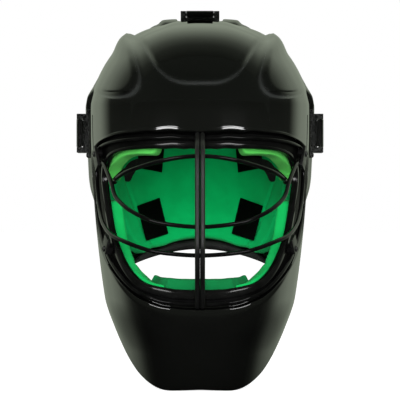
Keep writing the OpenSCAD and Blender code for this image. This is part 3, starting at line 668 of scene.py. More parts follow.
front_shell.data.polygons.foreach_set("material_index", satin.astype(np.int32))
print("recess faces:", int(satin.sum()))

# %% [markdown]
# ## The channel on the opening's edge
# A rubber channel is pressed over the shell's cut edge. Its section is a squared U with soft corners,
# swept once round the opening. A curve with a bevel object could do it, but the U has to turn with the
# shell's surface, so it is wrapped with the same grid as the shell.

# %% A rubber channel
def softened(corners, radii, steps=5):
    """A closed outline with its corners rounded by short curves."""
    corners = np.array(corners, float)
    line = []
    for k, corner in enumerate(corners):
        before, after = corners[k - 1] - corner, corners[(k + 1) % len(corners)] - corner
        cut = [v * min(radii[k] / np.linalg.norm(v), 0.45) for v in (before, after)]
        start, end = corner + cut[0], corner + cut[1]
        for s in np.linspace(0, 1, steps + 1):
            line.append(mix(mix(start, corner, s), mix(corner, end, s), s))
    return np.array(line)


trim_wall, trim_gap, trim_under, trim_cover, trim_lip = 1.2, 0.35, 0.6, 3.6, 2.0
per_degree = 2.2
top, bottom = -step_depth + trim_gap, -step_depth - shell_t - trim_under
section = softened([[trim_cover, top], [-0.2, top], [-0.2, bottom], [trim_cover, bottom],
    [trim_cover, bottom - trim_wall], [-trim_lip, bottom - trim_wall],
    [-trim_lip, top + trim_wall], [trim_cover, top + trim_wall]],
    [0.5, 0.5, 0.5, 0.5, 0.8, 1.6, 2.9, 1.2])
t = np.linspace(-180, 180, 360, endpoint=False)
angles = opening_at(t)[:, None] + section[:, 0] / per_degree
around = np.repeat(t[:, None], len(section), axis=1)
heights = np.repeat(section[None, :, 1], len(t), axis=0)
bm = wrapped_grid(over_shell(from_front(angles, around), heights))
finished("opening_channel", bm, edge_rubber, "front_shell", ["face_opening_trim"], "edge_rubber")

# %% [markdown]
# ## The cage
# The cage is bent from round steel wire, welded and powder coated. A bevelled curve would do, but the
# welds and the rounded ends are easier on a mesh, so each wire is a grid wrapped round its path.

# %% A wire along a path
wire_d, wire_seat, weld_gap = 3.8, 0.5, 0.15
upright_d, upright_pitch, upright_end = 4.4, 4.5, 0.3


def curve(points, steps):
    """A smooth line through points, with some steps between each two."""
    p = np.array(points, float)
    p = np.concatenate([[2 * p[0] - p[1]], p, [2 * p[-1] - p[-2]]])
    k = np.linspace(0, 1, steps, endpoint=False)[:, None]
    parts = []
    for p0, p1, p2, p3 in zip(p, p[1:], p[2:], p[3:]):
        parts.append(0.5 * (2 * p1 + (p2 - p0) * k + (2 * p0 - 5 * p1 + 4 * p2 - p3) * k**2
            + (3 * p1 - p0 - 3 * p2 + p3) * k**3))
    return np.concatenate([*parts, p[-2:-1]])


def tube(path, d, closed=False, sides=16, cap_steps=4):
    """A round wire; an open one gets rounded ends."""
    ahead = np.roll(path, -1, axis=0) - np.roll(path, 1, axis=0)
    if not closed:
        ahead[0], ahead[-1] = path[1] - path[0], path[-1] - path[-2]
    ahead = unit(ahead)
    side = unit(np.cross(ahead, path))
    up = np.cross(side, ahead)
    radius = np.full(len(path), d / 2)
    if not closed:
        turn = np.radians(np.linspace(90, 0, cap_steps, endpoint=False))
        grow = (d / 2 * np.sin(turn))[:, None]
        path = np.concatenate([path[0] - ahead[0] * grow, path, path[-1] + ahead[-1] * grow[::-1]])
        caps = d / 2 * np.cos(turn)
        radius = np.concatenate([caps, radius, caps[::-1]])
        pad = [(cap_steps, cap_steps), (0, 0)]
        side, up = np.pad(side, pad, mode="edge"), np.pad(up, pad, mode="edge")
    angle = np.linspace(0, 2 * np.pi, sides, endpoint=False)[None, :, None]
    ring = side[:, None] * np.cos(angle) + up[:, None] * np.sin(angle)
    return wrapped_grid(path[:, None] + radius[:, None, None] * ring, wrap_rows=closed)


def weld(bm, centre, radius, size):
    """A small bead where two wires are welded."""
    made = bmesh.ops.create_uvsphere(bm, u_segments=16, v_segments=10, radius=radius * MM)
    bmesh.ops.scale(bm, vec=size, verts=made["verts"])
    bmesh.ops.translate(bm, vec=Vector(centre) * MM, verts=made["verts"])


print("wires:", wire_d, "mm, the two uprights:", upright_d, "mm")

# %% The frame wire
wire_height = -step_depth + wire_d / 2 + wire_seat
t = np.linspace(-180, 180, 360, endpoint=False)
frame_path = over_shell(from_front(wire_at(t), t), np.full(len(t), wire_height))
finished("cage_frame", tube(frame_path, wire_d, closed=True), coated_wire, "front_shell",
    ["cage_frame_wire"], "coated_wire")
frame_top, frame_bottom = frame_path[180], frame_path[0]

# %% Cross wires
brow_half = [[0, -136, 38.5], [31, -132.5, 35], [60, -117, 27], [73, -101.5, 21], [77.6, -88, 17]]
eye_half = [[0, -149, -23.4], [34.7, -145, -20], [51, -138, -14.4], [64.8, -126, -7],
    [75.4, -109, 3], [80.6, -94, 16.9], [86.8, -75.9, 29.9], [91, -63.5, 35.5]]
mouth_half = [[0, -152, -48], [34.6, -148, -45.6], [51, -141, -41.9], [66.5, -129.5, -36.5],
    [79.2, -112, -31], [87.9, -88, -21.5], [92.6, -66, -9], [95.6, -50, 8], [97, -43, 24],
    [96.9, -43.5, 37]]


def both_sides(half):
    """A half wire's points, from the left end through the middle to the right end."""
    half = np.array(half, float)
    return np.concatenate([half[:0:-1], half * [-1, 1, 1]])


for name, half in (("brow", brow_half), ("eye", eye_half), ("mouth", mouth_half)):
    bm = tube(curve(both_sides(half), 10), wire_d)
    if name == "brow":
        for side in (-1, 1):
            weld(bm, (side * half[-1][0], half[-1][1], half[-1][2] - 0.5), 2.4, (1, 1.5, 1))
    finished(f"cage_{name}_wire", bm, coated_wire, "front_shell", [f"cage_{name}_bar"], "coated_wire")

# %% The two upright wires, welded over the others
crossings = np.array([frame_top, brow_half[0], eye_half[0], mouth_half[0], frame_bottom], float)
along = unit(np.array([crossings[min(i + 1, 4)] - crossings[max(i - 1, 0)] for i in range(5)]))
ahead = np.stack([0 * along[:, 0], along[:, 2], -along[:, 1]], -1)
middles = crossings + ahead * ((wire_d + upright_d) / 2 + weld_gap)
path = np.concatenate([[middles[0] + upright_end * unit(middles[0] - middles[1])], curve(middles, 14),
    [middles[4] + upright_end * unit(middles[4] - middles[3])]])
for side, name in SIDES:
    shift = np.array([side * upright_pitch / 2, 0, 0])
    bm = tube(path + shift, upright_d)
    for centre in mix(crossings, middles, 0.5) + shift:
        weld(bm, centre, 1.5, (1.25, 1.1, 1.5))
    finished(f"cage_upright_wire_{name}", bm, upright_coat, "front_shell", [f"cage_upright_{name}"],
        "coated_wire")

# %% [markdown]
# ## Foam pads
# The pads are die-cut from thick closed-cell foam, so they have no cover and no seams. Each is a block
# with rounded edges and heat-pressed score lines, laid against the shell's inside. Cloth simulation
# swells a fabric cover and would puff these up wrongly, so the block is shaped directly: its outer
# vertices are drawn in to a radius, and the whole block is then bent onto the form.

# %% A block with close loops at its edges
def loops(cells, edge_share):
    """Values from -1 to 1 with close steps near both ends, where an edge is rounded."""
    close = np.array([0, 0.15, 0.38, 0.68, 1.0]) * edge_share
    return np.concatenate([-1 + close, np.linspace(-1 + edge_share, 1 - edge_share, cells + 1)[1:-1],
        1 - close[::-1]])


def block(across, along, layers):
    """A closed block of loops; its vertices hold values across, along and from 0 outside to 1 inside."""
    bm = bmesh.new()
    bmesh.ops.create_grid(bm, x_segments=len(across) - 1, y_segments=len(along) - 1, size=0.5)
    made = bmesh.ops.extrude_face_region(bm, geom=bm.faces[:], use_keep_orig=True)["geom"]
    bmesh.ops.translate(bm, vec=(0, 0, 1), verts=[v for v in made if isinstance(v, bmesh.types.BMVert)])
    upright = [e for e in bm.edges if abs(e.verts[0].co.z - e.verts[1].co.z) > 0.5]
    if layers > 1:
        bmesh.ops.subdivide_edges(bm, edges=upright, cuts=layers - 1, use_grid_fill=True)

    def place(flat):
        x = np.interp((flat[:, 0] + 0.5) * (len(across) - 1), np.arange(len(across)), across)
        y = np.interp((flat[:, 1] + 0.5) * (len(along) - 1), np.arange(len(along)), along)
        return np.stack([x, y, flat[:, 2]], -1)

    return moved(bm, place)


print("close loops at both ends:", loops(2, 0.2).round(2))

# %% Rounded edges
def drawn_in(flat, width, length, thickness, radius):
    """Rounds the block's edges: distances in millimetres, values back from -1 to 1 and 0 to 1."""
    half = np.array([width / 2, length / 2, thickness / 2])
    p = np.stack([flat[:, 0], flat[:, 1], flat[:, 2] * 2 - 1], -1) * half
    radius = np.minimum(radius, half * 0.98)
    core = np.clip(p, -(half - radius), half - radius)
    off = (p - core) / radius
    long = np.linalg.norm(off, axis=-1, keepdims=True)
    biggest = abs(off).max(-1, keepdims=True)
    p = core + off * radius * np.where(long > 1e-9, biggest / np.maximum(long, 1e-9), 1)
    p = p / half
    return p[:, 0], p[:, 1], (p[:, 2] + 1) / 2


corner = drawn_in(np.array([[1.0, 1.0, 1.0]]), 10, 10, 10, 2)
print("a 10 mm cube's corner after a radius of 2 mm:", np.round(corner, 2).ravel())

# %% One foam pad
pad_gap, pad_reach, cheek_reach, brow_top = 1.0, 25.0, 23.5, 62.0
lip_margin, jaw_lip, chin_lip, temple_hang, pad_split = 2.3, -1.5, -4.0, 6.2, 0.6
jaw_from, jaw_to, pad_radius = 141.0, 156.0, 3.0
pad_form_r, pad_per_degree, crease_depth = 108, 2.0, 0.13
hang_from, hang_run, hang_to, hang_end_run, jaw_lip_from, jaw_lip_run = 35, 15, 76, 10, 118, 22
channel_margin, channel_slope, mitre_lift = 1.4, 2, 1.5
pad_floor = step_depth + shell_t + trim_under + trim_wall + pad_gap


def lip_line(t):
    """The pads' near edge, which hangs lower at the temples and closer at the jaw."""
    turn = off_top(t)
    hang = smooth((turn - hang_from) / hang_run) * smooth((hang_to - turn) / hang_end_run)
    margin = mix(lip_margin, jaw_lip, smooth((turn - jaw_lip_from) / jaw_lip_run))
    return opening_at(t) + margin - temple_hang * hang


def groove(distance, width=1.6):
    """How deep a heat-pressed crease is, from 1 in its middle to 0."""
    return np.exp(-((distance / width) ** 2))


def foam_pad(name, from_t, to_t, near, far, node, material, reach=pad_reach, scores=(), cross_scores=()):
    """A pad between two angles round the face and from one line to another off straight ahead."""
    middle = (from_t + to_t) / 2
    off_front = math.radians((near(middle) + far(middle)) / 2)
    width = abs(to_t - from_t) * math.radians(1) * pad_form_r * math.sin(off_front)
    length = (far(middle) - near(middle)) * pad_per_degree
    thickness = reach - shell_t - pad_gap
    bm = block(loops(56, 2 * pad_radius / width), loops(28, 2 * pad_radius / length), 6)

    def place(flat):
        u, v, s = drawn_in(flat, width, length, thickness, pad_radius)
        t = mix(from_t, to_t, (u + 1) / 2)
        a = mix(near(t), far(t), (v + 1) / 2)
        over_channel = smooth((wall_at(t) + channel_margin - a) / channel_slope)
        top = mix(shell_t + pad_gap, pad_floor, over_channel)
        turn = off_top(t)
        jaw_share = smooth((turn - jaw_from) / (jaw_to - jaw_from))
        mitre = mix(cheek_reach, pad_floor + mitre_lift, jaw_share)
        end = mitre if node.startswith("cheek") else np.full(len(u), reach)
        if node.startswith("chin"):
            top = np.where(turn < jaw_to, np.maximum(top, np.minimum(mitre + pad_split, reach - 1)), top)
        full = 0.9 + 0.1 * smooth((1 - abs(v)) * 2.2) * smooth((1 - abs(u)) * 3)
        cut = sum([groove((u - k) * width / 2) for k in scores], 0 * u)
        cut = np.maximum(cut, sum([groove((v - k) * length / 2) for k in cross_scores], 0 * u))
        depth = (end - top) * full * (1 - crease_depth * cut)
        return over_shell(from_front(a, t), -top - s * depth) * MM

    bmesh.ops.remove_doubles(moved(bm, place), verts=bm.verts, dist=1e-6)
    piece = finished(name, bm, material, "front_shell", [node], "green_foam")
    return piece


full_t, channel_t = pad_reach - shell_t - pad_gap, pad_reach - pad_floor
print("a pad is", round(full_t, 1), "mm thick, and", round(channel_t, 1), "mm over the channel")

# %% The pads of the front shell
brow_t, temple_t, jaw_t, chin_t = 40.0, 80.0, 90.0, 140.0
crown_end, temple_end, chin_end, cheek_end = 91.0, 76.0, 44.0, 71.0
brow_inner = brow_t - pad_split
# the forehead, crown and temple pads get the foam copy with painted light, and the cheek pads and the
# chin pad get the copies with painted shade
foam_pad("forehead_foam", -brow_inner, brow_inner, lip_line, lambda t: brow_top + 0 * t,
    "forehead_pad", temple_foam_painted_light, scores=(-0.45, 0.45), cross_scores=(0.1,))
foam_pad("crown_foam", -brow_inner, brow_inner, lambda t: brow_top + 2 * pad_split + 0 * t,
    lambda t: crown_end + 0 * t, "crown_pad", temple_foam_painted_light, scores=(-0.45, 0.45))
for side, name in SIDES:
    foam_pad(f"temple_foam_painted_light_{name}", side * (brow_t + pad_split), side * (temple_t - pad_split),
        lip_line, lambda t: mix(brow_top, temple_end, smooth((abs(t) - 46) / 8)),
        f"temple_pad_{name}", temple_foam_painted_light, cross_scores=(0.15,))
    foam_pad(f"cheek_foam_{name}", side * (jaw_t + pad_split), side * jaw_to,
        lip_line, lambda t: np.minimum(cheek_end, rear_at(t) - 5),
        f"cheek_pad_{name}", jaw_foam_painted_shade, cheek_reach, scores=(0.1,))
foam_pad("chin_foam_painted_shade", chin_t + pad_split, 360 - chin_t - pad_split,
    lambda t: opening_at(t) + chin_lip, lambda t: chin_end + 0 * t, "chin_pad", chin_foam_painted_shade)

# %% [markdown]
# Each temple pad's rim is bound with a dark flap that ends in a small tab. Its borders are points in
# the front view, (x, z) of the upper and the lower border, and a table of depths gives their place
# along Y. A flap could be cut from a flat sheet, but two borders keep its outline exact.

# %% Flaps on the temple pads
flap_borders = [(-81.5, 19.4, -78.4, 15.8), (-78.5, 22.6, -75, 19), (-75.5, 25.3, -72.3, 22.1),
    (-72.3, 27.9, -70.3, 23.4), (-70.4, 29.3, -69.7, 18.5), (-69, 30.5, -68.8, 17),
    (-66.6, 33.6, -65.7, 16.7), (-63.6, 36, -63.7, 18.2), (-61, 36.9, -61.8, 22.4),
    (-57.6, 37.8, -59, 26.6), (-51.4, 39.2, -55, 28.8), (-45.4, 40.6, -50, 30.4),
    (-39.3, 42, -43.5, 34), (-34.5, 43, -37, 39)]
flap_depths = [[-81, -59], [-70, -62], [-64, -67], [-57, -77], [-48, -83], [-35, -91]]
flap_l, flap_w, flap_t = 60.0, 12.0, 1.2
borders = np.array(flap_borders)
stations = np.linspace(-1, 1, len(borders))
for side, name in SIDES:
    bm = block(loops(60, 0.03), loops(14, 0.12), 2)
    u, v, s = drawn_in(np.array([p.co for p in bm.verts]), flap_l, flap_w, flap_t, 0.5)
    upper = np.stack([np.interp(u, stations, borders[:, k]) for k in (0, 1)], -1)
    lower = np.stack([np.interp(u, stations, borders[:, k]) for k in (2, 3)], -1)
    flat = mix(upper, lower, ((v + 1) / 2)[:, None])
    y = np.interp(flat[:, 0], *np.array(flap_depths).T) - flap_t * (1 - s)
    spot = np.stack([flat[:, 0] * -side, y, flat[:, 1]], -1) * MM
    moved(bm, lambda _, spot=spot: spot)
    flap = finished(f"temple_flap_{name}", bm, hook_tape, "front_shell")
    measured(flap, u * flap_l / 2, v * flap_w / 2)

# %% [markdown]
# ## The back plate and its padding
# The back plate is a second moulding that laps over the front shell and slides on it. A channel for the
# top strap runs down its middle between two ribs. It is a thin block: the same loops give it a rounded
# rim. The pad inside it is one thick piece with two upright creases where it folds round the head.

# %% Outlines of the plate and the pad
plate_gap, plate_rise, rib_rise, channel_w, channel_side, rib_w = 0.8, 2.6, 3.2, 38.0, 4.0, 18.0
shoulder_x, shoulder_z, shoulder_share = 44.0, 98.0, 0.6
channel_z, channel_run, rib_z, rib_run, rib_side = 60, 30, 50, 50, 6
plate_side = [[-38.5, 41.3], [-35.6, 48.9], [-28, 57.5], [-6.4, 73.7], [7.4, 84.2], [15, 85.7],
    [44, 76.2], [57, 67]]
plate_crest = [[0, 31], [0.25, 30], [0.3, 28], [0.36, 22.5], [0.46, 20], [0.62, 14.5], [0.79, 8.5],
    [0.85, 7.5], [0.9, 6.5], [0.95, 4], [1, 0]]
back_pad_side = [[-33, 36], [-28, 46], [-22, 53], [-4, 66], [10, 73], [30, 69], [50, 57], [66, 37]]
back_pad_crest = [[0, 10], [0.3, 9.1], [0.6, 6.4], [0.8, 3.6], [1, 0]]
plate_low, plate_high, plate_arch = -38.5, 57, 13
pad_low, pad_high, pad_arch, pad_corner = -33, 66, 12.5, 2.6
plate_edge = rounded_table(plate_side, plate_low, plate_high, 2.0)
back_pad_edge = rounded_table(back_pad_side, pad_low, pad_high, 2.0)


def crest_line(points):
    mirrored = [[-k, v] for k, v in points[:0:-1]] + points
    return rounded_table(mirrored, -1, 1, 0.016, 0.004)


plate_top, back_pad_top = crest_line(plate_crest), crest_line(back_pad_crest)
print("half widths at eye level:", plate_edge(0.0).round(1), back_pad_edge(0.0).round(1), "degrees")

# %% The rear form
def rear_direction(k, q, edge, low, high, crest, arch, corner=0.0):
    """A direction from k, -1 to 1 across, and q, 0 at the nape to 1 at the crown."""
    row = mix(low, high, q)
    u = k * edge(row)
    foot = (1 - k * k) * arch + corner * smooth((abs(k) - 0.55) / 0.35)
    v = row + crest(k) * q * q + foot * (1 - q) ** 2
    return from_back(np.hypot(u, v), np.degrees(np.arctan2(u, v)))


def plate_direction(k, q):
    return rear_direction(k, q, plate_edge, plate_low, plate_high, plate_top, plate_arch)


def back_pad_direction(k, q):
    return rear_direction(k, q, back_pad_edge, pad_low, pad_high, back_pad_top, pad_arch, pad_corner)


def plate_height(p):
    """How high the plate stands off the shell: least in the channel, most on the two ribs."""
    x, z = abs(p[..., 0]), p[..., 2]
    beside = smooth((x - channel_w / 2) / channel_side)
    rib = beside * smooth((channel_w / 2 + channel_side + rib_w - x) / rib_side)
    shoulder = shoulder_share * smooth((x - shoulder_x) / 10) * smooth((z - shoulder_z) / 12)
    open_channel = mix(1, beside, smooth((z - channel_z) / channel_run))
    return (plate_gap + plate_rise * open_channel * (1 - shoulder)
        + rib_rise * rib * smooth((z - rib_z) / rib_run))


def plate_skin(d, height):
    p = on_shell(unit(d))
    return p + (height + plate_height(p))[..., None] * outward(p)


def plate_floor(d, height):
    p = on_shell(unit(d))
    lie = plate_gap + plate_rise * (1 - smooth((p[..., 2] - channel_z) / channel_run))
    return p + (height + lie)[..., None] * outward(p)


print("nape:", plate_skin(plate_direction(0.0, 0.0), shell_t).round(1))

# %% The back plate
side_nose, front_nose, plate_l, plate_h = 12.0, 4.0, 300.0, 220.0


def place(flat):
    """The plate's block bent onto the form; near its edges it slopes down to the shell."""
    u, v, s = drawn_in(flat, plate_l, plate_h, shell_t, 1.2)
    d = plate_direction(u, (v + 1) / 2)
    across, ahead = (1 - abs(u)) * plate_l / 2, (1 - v) * plate_h / 2
    inward = smooth(np.minimum(across / side_nose, ahead / front_nose))
    skin = plate_skin(d, shell_t * (1 - s))
    p = on_shell(unit(d))
    low = p + (plate_gap + 1.2 * (1 - s))[:, None] * outward(p)
    return mix(low, skin, inward[:, None]) * MM


bm = block(loops(190, 0.01), loops(110, 0.013), 3)
finished("back_plate_moulding", moved(bm, place), plate_gloss, "back_plate", ["back_plate"],
    "plate_gloss")

# %% The back pad
back_reach, crease_at, back_pad_l, back_pad_h, back_pad_round = 20.0, 0.78, 240, 170, 4.5


def place(flat):
    """The pad's block between the plate's floor and the head, with its two creases."""
    u, v, s = drawn_in(flat, back_pad_l, back_pad_h, back_reach, back_pad_round)
    d = back_pad_direction(u, (v + 1) / 2)
    far = plate_floor(d, np.full(len(u), -pad_gap))
    cut = groove((abs(u) - crease_at) * back_pad_l / 2, 2.4)
    full = (0.86 + 0.14 * smooth((1 - abs(v)) * 3) * smooth((1 - abs(u)) * 4)) * (1 - 0.1 * cut)
    near = over_shell(d, -back_reach * full)
    return mix(far, near, s[:, None]) * MM


bm = moved(block(loops(110, 0.04), loops(60, 0.055), 6), place)
back_pad = finished("back_foam", bm, green_foam, "back_plate", ["back_pad"], "green_foam")

# %% The rubber band over the nape
band_l, band_w, band_t, band_round = 190, 24, 5.0, 1.8


def place(flat):
    """The band's block along the nape, between the plate's edge and the pad's."""
    u, v, s = drawn_in(flat, band_l, band_w, band_t, band_round)
    k, along = 0.95 * u, mix(0.1, 0.82, (v + 1) / 2)
    low, high = plate_direction(k, 0 * k), back_pad_direction(k * 0.86, 0 * k)
    d = unit(mix(low, high, along[:, None]))
    thick = band_t * (0.8 + 0.2 * smooth((1 - abs(v)) * 1.5))
    return plate_floor(d, -pad_gap - s * thick) * MM


bm = moved(block(loops(90, 0.02), loops(10, 0.15), 4), place)
finished("nape_band", bm, band_rubber, "back_plate", ["neck_band"], "edge_rubber")

# %% [markdown]
# Patches of hook tape on the back pad hold a comfort liner in place. A drawing on the foam could show
# them, but they stand proud of it and catch light at the rim. So each is a thin block that lies on the
# pad and carries its own two measures for the hooks' rows.

# %% Hook patches
patch_t, patch_gap, patch_sink, patch_form_r = 1.0, 1.5, 0.7, 95
patches = {"lower": (52.5, -20, 14, 16.5, -14), "upper": (50.5, 35.5, 14, 13, 10)}
for side, side_name in SIDES:
    for level, (x0, z0, wide, tall, tilt) in patches.items():
        bm = block(loops(18, 0.1), loops(18, 0.1), 2)
        flat = np.array([v.co for v in bm.verts])
        u, v, s = drawn_in(flat, 2 * wide, 2 * tall, patch_t, 0.45)
        u, v, tilt = u * wide, v * tall, math.radians(tilt)
        x = x0 + u * math.cos(tilt) - v * math.sin(tilt)
        z = z0 + u * math.sin(tilt) + v * math.cos(tilt)
        y = np.sqrt(np.maximum(100, patch_form_r**2 - x * x))
        d = unit(np.stack([side * x, y, z], -1))
        spot = over_shell(d, -back_reach - patch_gap + patch_sink - s * patch_t) * MM
        moved(bm, lambda _, spot=spot: spot)
        piece = finished(f"hook_tape_{level}_{side_name}", bm, hook_tape, "back_plate",
            [f"hook_patch_{level}_{side_name}"], "hook_tape")
        measured(piece, v, u)

# %% [markdown]
# ## Buckles
# A strap runs through each buckle, and a small lever presses on it. Every edge could be modelled by
# itself, but a moulded part has the same small radius all over. So the base is a few blocks made one
# with a boolean, and then a bevel softens every edge at once. Screws and rivets are turned, by a spin.

# %% Blocks, rods and booleans
def solid_block(centre, size):
    bm = bmesh.new()
    bmesh.ops.create_cube(bm, size=1)
    bmesh.ops.scale(bm, vec=Vector(size) * MM, verts=bm.verts)
    bmesh.ops.translate(bm, vec=Vector(centre) * MM, verts=bm.verts)
    return bm


def solid_rod(centre, radius, depth, axis):
    bm = bmesh.new()
    bmesh.ops.create_cone(bm, cap_ends=True, segments=32, radius1=radius * MM, radius2=radius * MM,
        depth=depth * MM)
    if axis == "X":
        bmesh.ops.rotate(bm, matrix=Matrix.Rotation(math.pi / 2, 3, "Y"), verts=bm.verts)
    bmesh.ops.translate(bm, vec=Vector(centre) * MM, verts=bm.verts)
    return bm


def joined(first, others, operation):
    for other in others:
        step = first.modifiers.new("join", "BOOLEAN")
        step.object, step.operation, step.solver = other, operation, "EXACT"


def baked(target, others):
    """The mesh that the modifiers leave, as a bmesh; the objects behind it are removed."""
    ready = target.evaluated_get(bpy.context.evaluated_depsgraph_get())
    bm = bmesh.new()
    bm.from_mesh(bpy.data.meshes.new_from_object(ready))
    for o in (target, *others):
        bpy.data.objects.remove(o)
    return bm


def made_one(name, boxes, cuts, bevel, segments):
    """Joins blocks (centre, size), cuts round holes (centre, radius, depth, axis), rounds all edges."""
    first, *added = [as_object(name, solid_block(*box)) for box in boxes]
    removed = [as_object(name, solid_rod(*cut)) for cut in cuts]
    joined(first, added, "UNION")
    joined(first, removed, "DIFFERENCE")
    step = first.modifiers.new("bevel", "BEVEL")
    step.width, step.segments, step.limit_method = bevel * MM, segments, "ANGLE"
    step.angle_limit = math.radians(35)
    return baked(first, added + removed)


print("ready:", made_one.__doc__)

# %% Turned parts and copies
def turned(profile, steps=40):
    """A turned part: a line of (radius, height) spun once round the z axis."""
    bm = bmesh.new()
    line = [bm.verts.new((r * MM, 0, z * MM)) for r, z in profile]
    edges = [bm.edges.new(pair) for pair in zip(line, line[1:])]
    bmesh.ops.spin(bm, geom=line + edges, cent=(0, 0, 0), axis=(0, 0, 1), angle=2 * math.pi,
        steps=steps, use_merge=True)
    bmesh.ops.remove_doubles(bm, verts=bm.verts, dist=1e-6)
    return bm


def copied(bm, matrix):
    """A copy of a bmesh put in its place."""
    new = bm.copy()
    bmesh.ops.transform(new, matrix=matrix, verts=new.verts)
    return new


print("ready:", turned.__doc__)

# %% The buckle's measures and its three places
STATIONS = ("top", "left", "right")
seat_gap, buckle_y, side_buckle_z = 0.3, -8.0, 64.0
buckle_w, ear_w, buckle_l, foot_t = 37.0, 4.8, 22.0, 2.6
strap_floor, strap_z, strap_w, strap_t = 6.2, 6.5, 25.0, 1.6
cheek_w, cheek_h, bar_z, bar_t = 5.0, 12.2, 8.5, 1.6
lever_t, pin_y, pin_z, knuckle_r, fit = 2.0, 5.6, 10.7, 2.1, 0.3
buckle_screw_x = buckle_w / 2 + ear_w / 2 - 0.1


def station(name):
    """Where a buckle sits: x across its strap, y along it to the rear, z outward."""
    if name == "top":
        return Matrix.Translation(Vector((0, buckle_y, crown_z + seat_gap)) * MM)
    side = -1 if name == "left" else 1
    spot = Vector((side * (shell_w / 2 + seat_gap), buckle_y, side_buckle_z)) * MM
    return Matrix.Translation(spot) @ Matrix.Rotation(side * math.pi / 2, 4, "Y")


print("buckles at", [tuple(round(v, 3) for v in station(name).translation) for name in STATIONS])

# %% The buckle's base
ear_l, bar_l, screw_hole_r, pin_hole_r = 14, 3.5, 1.4, 1.65
boxes = [((0, 0, foot_t / 2), (buckle_w + 2 * ear_w, ear_l, foot_t)),
    ((0, 0, strap_floor / 2), (buckle_w, buckle_l, strap_floor)),
    ((0, (bar_l - buckle_l) / 2, bar_z + bar_t / 2), (buckle_w, bar_l, bar_t))]
for side in (-1, 1):
    boxes.append(((side * (buckle_w - cheek_w) / 2, 0, cheek_h / 2), (cheek_w, buckle_l, cheek_h)))
cuts = [((side * buckle_screw_x, 0, 0), screw_hole_r, 12, "Z") for side in (-1, 1)]
cuts += [((side * buckle_w / 2, pin_y, pin_z), pin_hole_r, 3, "X") for side in (-1, 1)]
base = made_one("buckle_base", boxes, cuts, bevel=0.55, segments=3)
print("base:", len(boxes), "blocks,", len(cuts), "holes,", len(base.faces), "faces")

# %% The lever, with ribs for the thumb
lever_w, lever_reach = buckle_w - 2 * cheek_w - 2 * fit, 14.0
low, high = bar_z + bar_t + fit, bar_z + bar_t + fit + lever_t
front, ribs, rib_pitch = pin_y - knuckle_r - lever_reach - 1, 5, 1.9
outline = [(front, low + 0.2), (front - 0.3, low + 1.0), (front, high - 0.3), (front + 0.9, high)]
for k in range(ribs):
    start = front + 2.0 + k * rib_pitch
    outline += [(start, high - 0.55), (start + 0.35, high - 0.1), (start + 0.95, high + 0.05),
        (start + 1.5, high - 0.1)]
turn = np.radians(np.linspace(100, -90, 12))
outline += [(pin_y + knuckle_r * math.cos(k), pin_z + knuckle_r * math.sin(k)) for k in turn]
outline += [(pin_y - 1.4, low), (front + 1.0, low)]
lever = bmesh.new()
corners = [lever.verts.new((-lever_w / 2 * MM, y * MM, z * MM)) for y, z in outline]
face = bmesh.ops.contextual_create(lever, geom=corners)["faces"]
grown = bmesh.ops.extrude_face_region(lever, geom=face, use_keep_orig=True)["geom"]
far = [v for v in grown if isinstance(v, bmesh.types.BMVert)]
bmesh.ops.translate(lever, vec=(lever_w * MM, 0, 0), verts=far)
ends = [e for e in lever.edges if abs(e.verts[0].co.x - e.verts[1].co.x) < 1e-6]
bmesh.ops.bevel(lever, geom=ends, offset=0.25 * MM, segments=2, profile=0.5, affect="EDGES",
    material=-1)
print("lever:", ribs, "ribs,", len(lever.faces), "faces")

# %% Screws with a crossed recess, and domed rivets
arm_share, arm_z, arm_h = 0.24, 1.6, 1.8
head = turned([(0, 1.35), (0.9, 1.32), (1.6, 1.1), (2.0, 0.65), (2.1, 0.1), (2.1, 0), (0, 0)])
big_head = turned([(0, 1.5), (1.4, 1.45), (2.3, 1.15), (2.7, 0.6), (2.8, 0.1), (2.8, 0), (0, 0)])
rivet = turned([(0, 1.4), (1.6, 1.34), (3.0, 1.1), (4.0, 0.66), (4.4, 0.25), (4.5, 0), (0, 0)], 48)


def crossed(bm, size):
    """Cuts a cross into a screw's head with two thin blocks."""
    screw = as_object("screw", bm)
    arms = [(size, size * arm_share, arm_h), (size * arm_share, size, arm_h)]
    cutters = [as_object("cut", solid_block((0, 0, arm_z), arm)) for arm in arms]
    joined(screw, cutters, "DIFFERENCE")
    return baked(screw, cutters)


head, big_head = crossed(head, 2.4), crossed(big_head, 3.2)
print("screw heads:", len(head.faces), "and", len(big_head.faces), "faces; rivet:", len(rivet.faces))

# %% Buckles, levers and their screws in their places
screw_names = {"top": ("left", "right"), "left": ("lower", "upper"), "right": ("upper", "lower")}
for name in STATIONS:
    here = station(name)
    finished(f"buckle_body_{name}", copied(base, here), buckle_plastic, "front_shell",
        [f"buckle_base_{name}"], "buckle_plastic", sharp=40).visible_glossy = name == "top"
    finished(f"buckle_lever_arm_{name}", copied(lever, here), buckle_plastic, f"lever_{name}",
        [f"buckle_lever_{name}"], "buckle_plastic", sharp=35).visible_glossy = name == "top"
    for side, which in zip((-1, 1), screw_names[name]):
        spot = here @ Matrix.Translation(Vector((side * buckle_screw_x, 0, foot_t)) * MM)
        finished(f"buckle_screw_head_{name}_{which}", copied(head, spot), black_screw, "front_shell",
            [f"buckle_screw_{name}_{which}"], "steel", sharp=35).visible_glossy = name == "top"
    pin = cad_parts[f"buckle_pin_{name}"]
    pin.data.materials.clear()
    pin.data.materials.append(steel)

# %% [markdown]
# ## Straps
# The webbing runs straight through its buckle and then bends down onto the back plate, where two rivets
# hold it. A flat ribbon would do from afar, but the webbing's thick edge shows beside the buckle. So it
# is a thin block along a line, with the weave's measures stored on it.

# %% The strap's line
plate_travel, strap_gap, strap_straight = 25.0, 0.5, 22
rivet_y, strap_ends = (46.0, 62.0), (38.0, 46.0, 54.0, 62.0, 70.0)


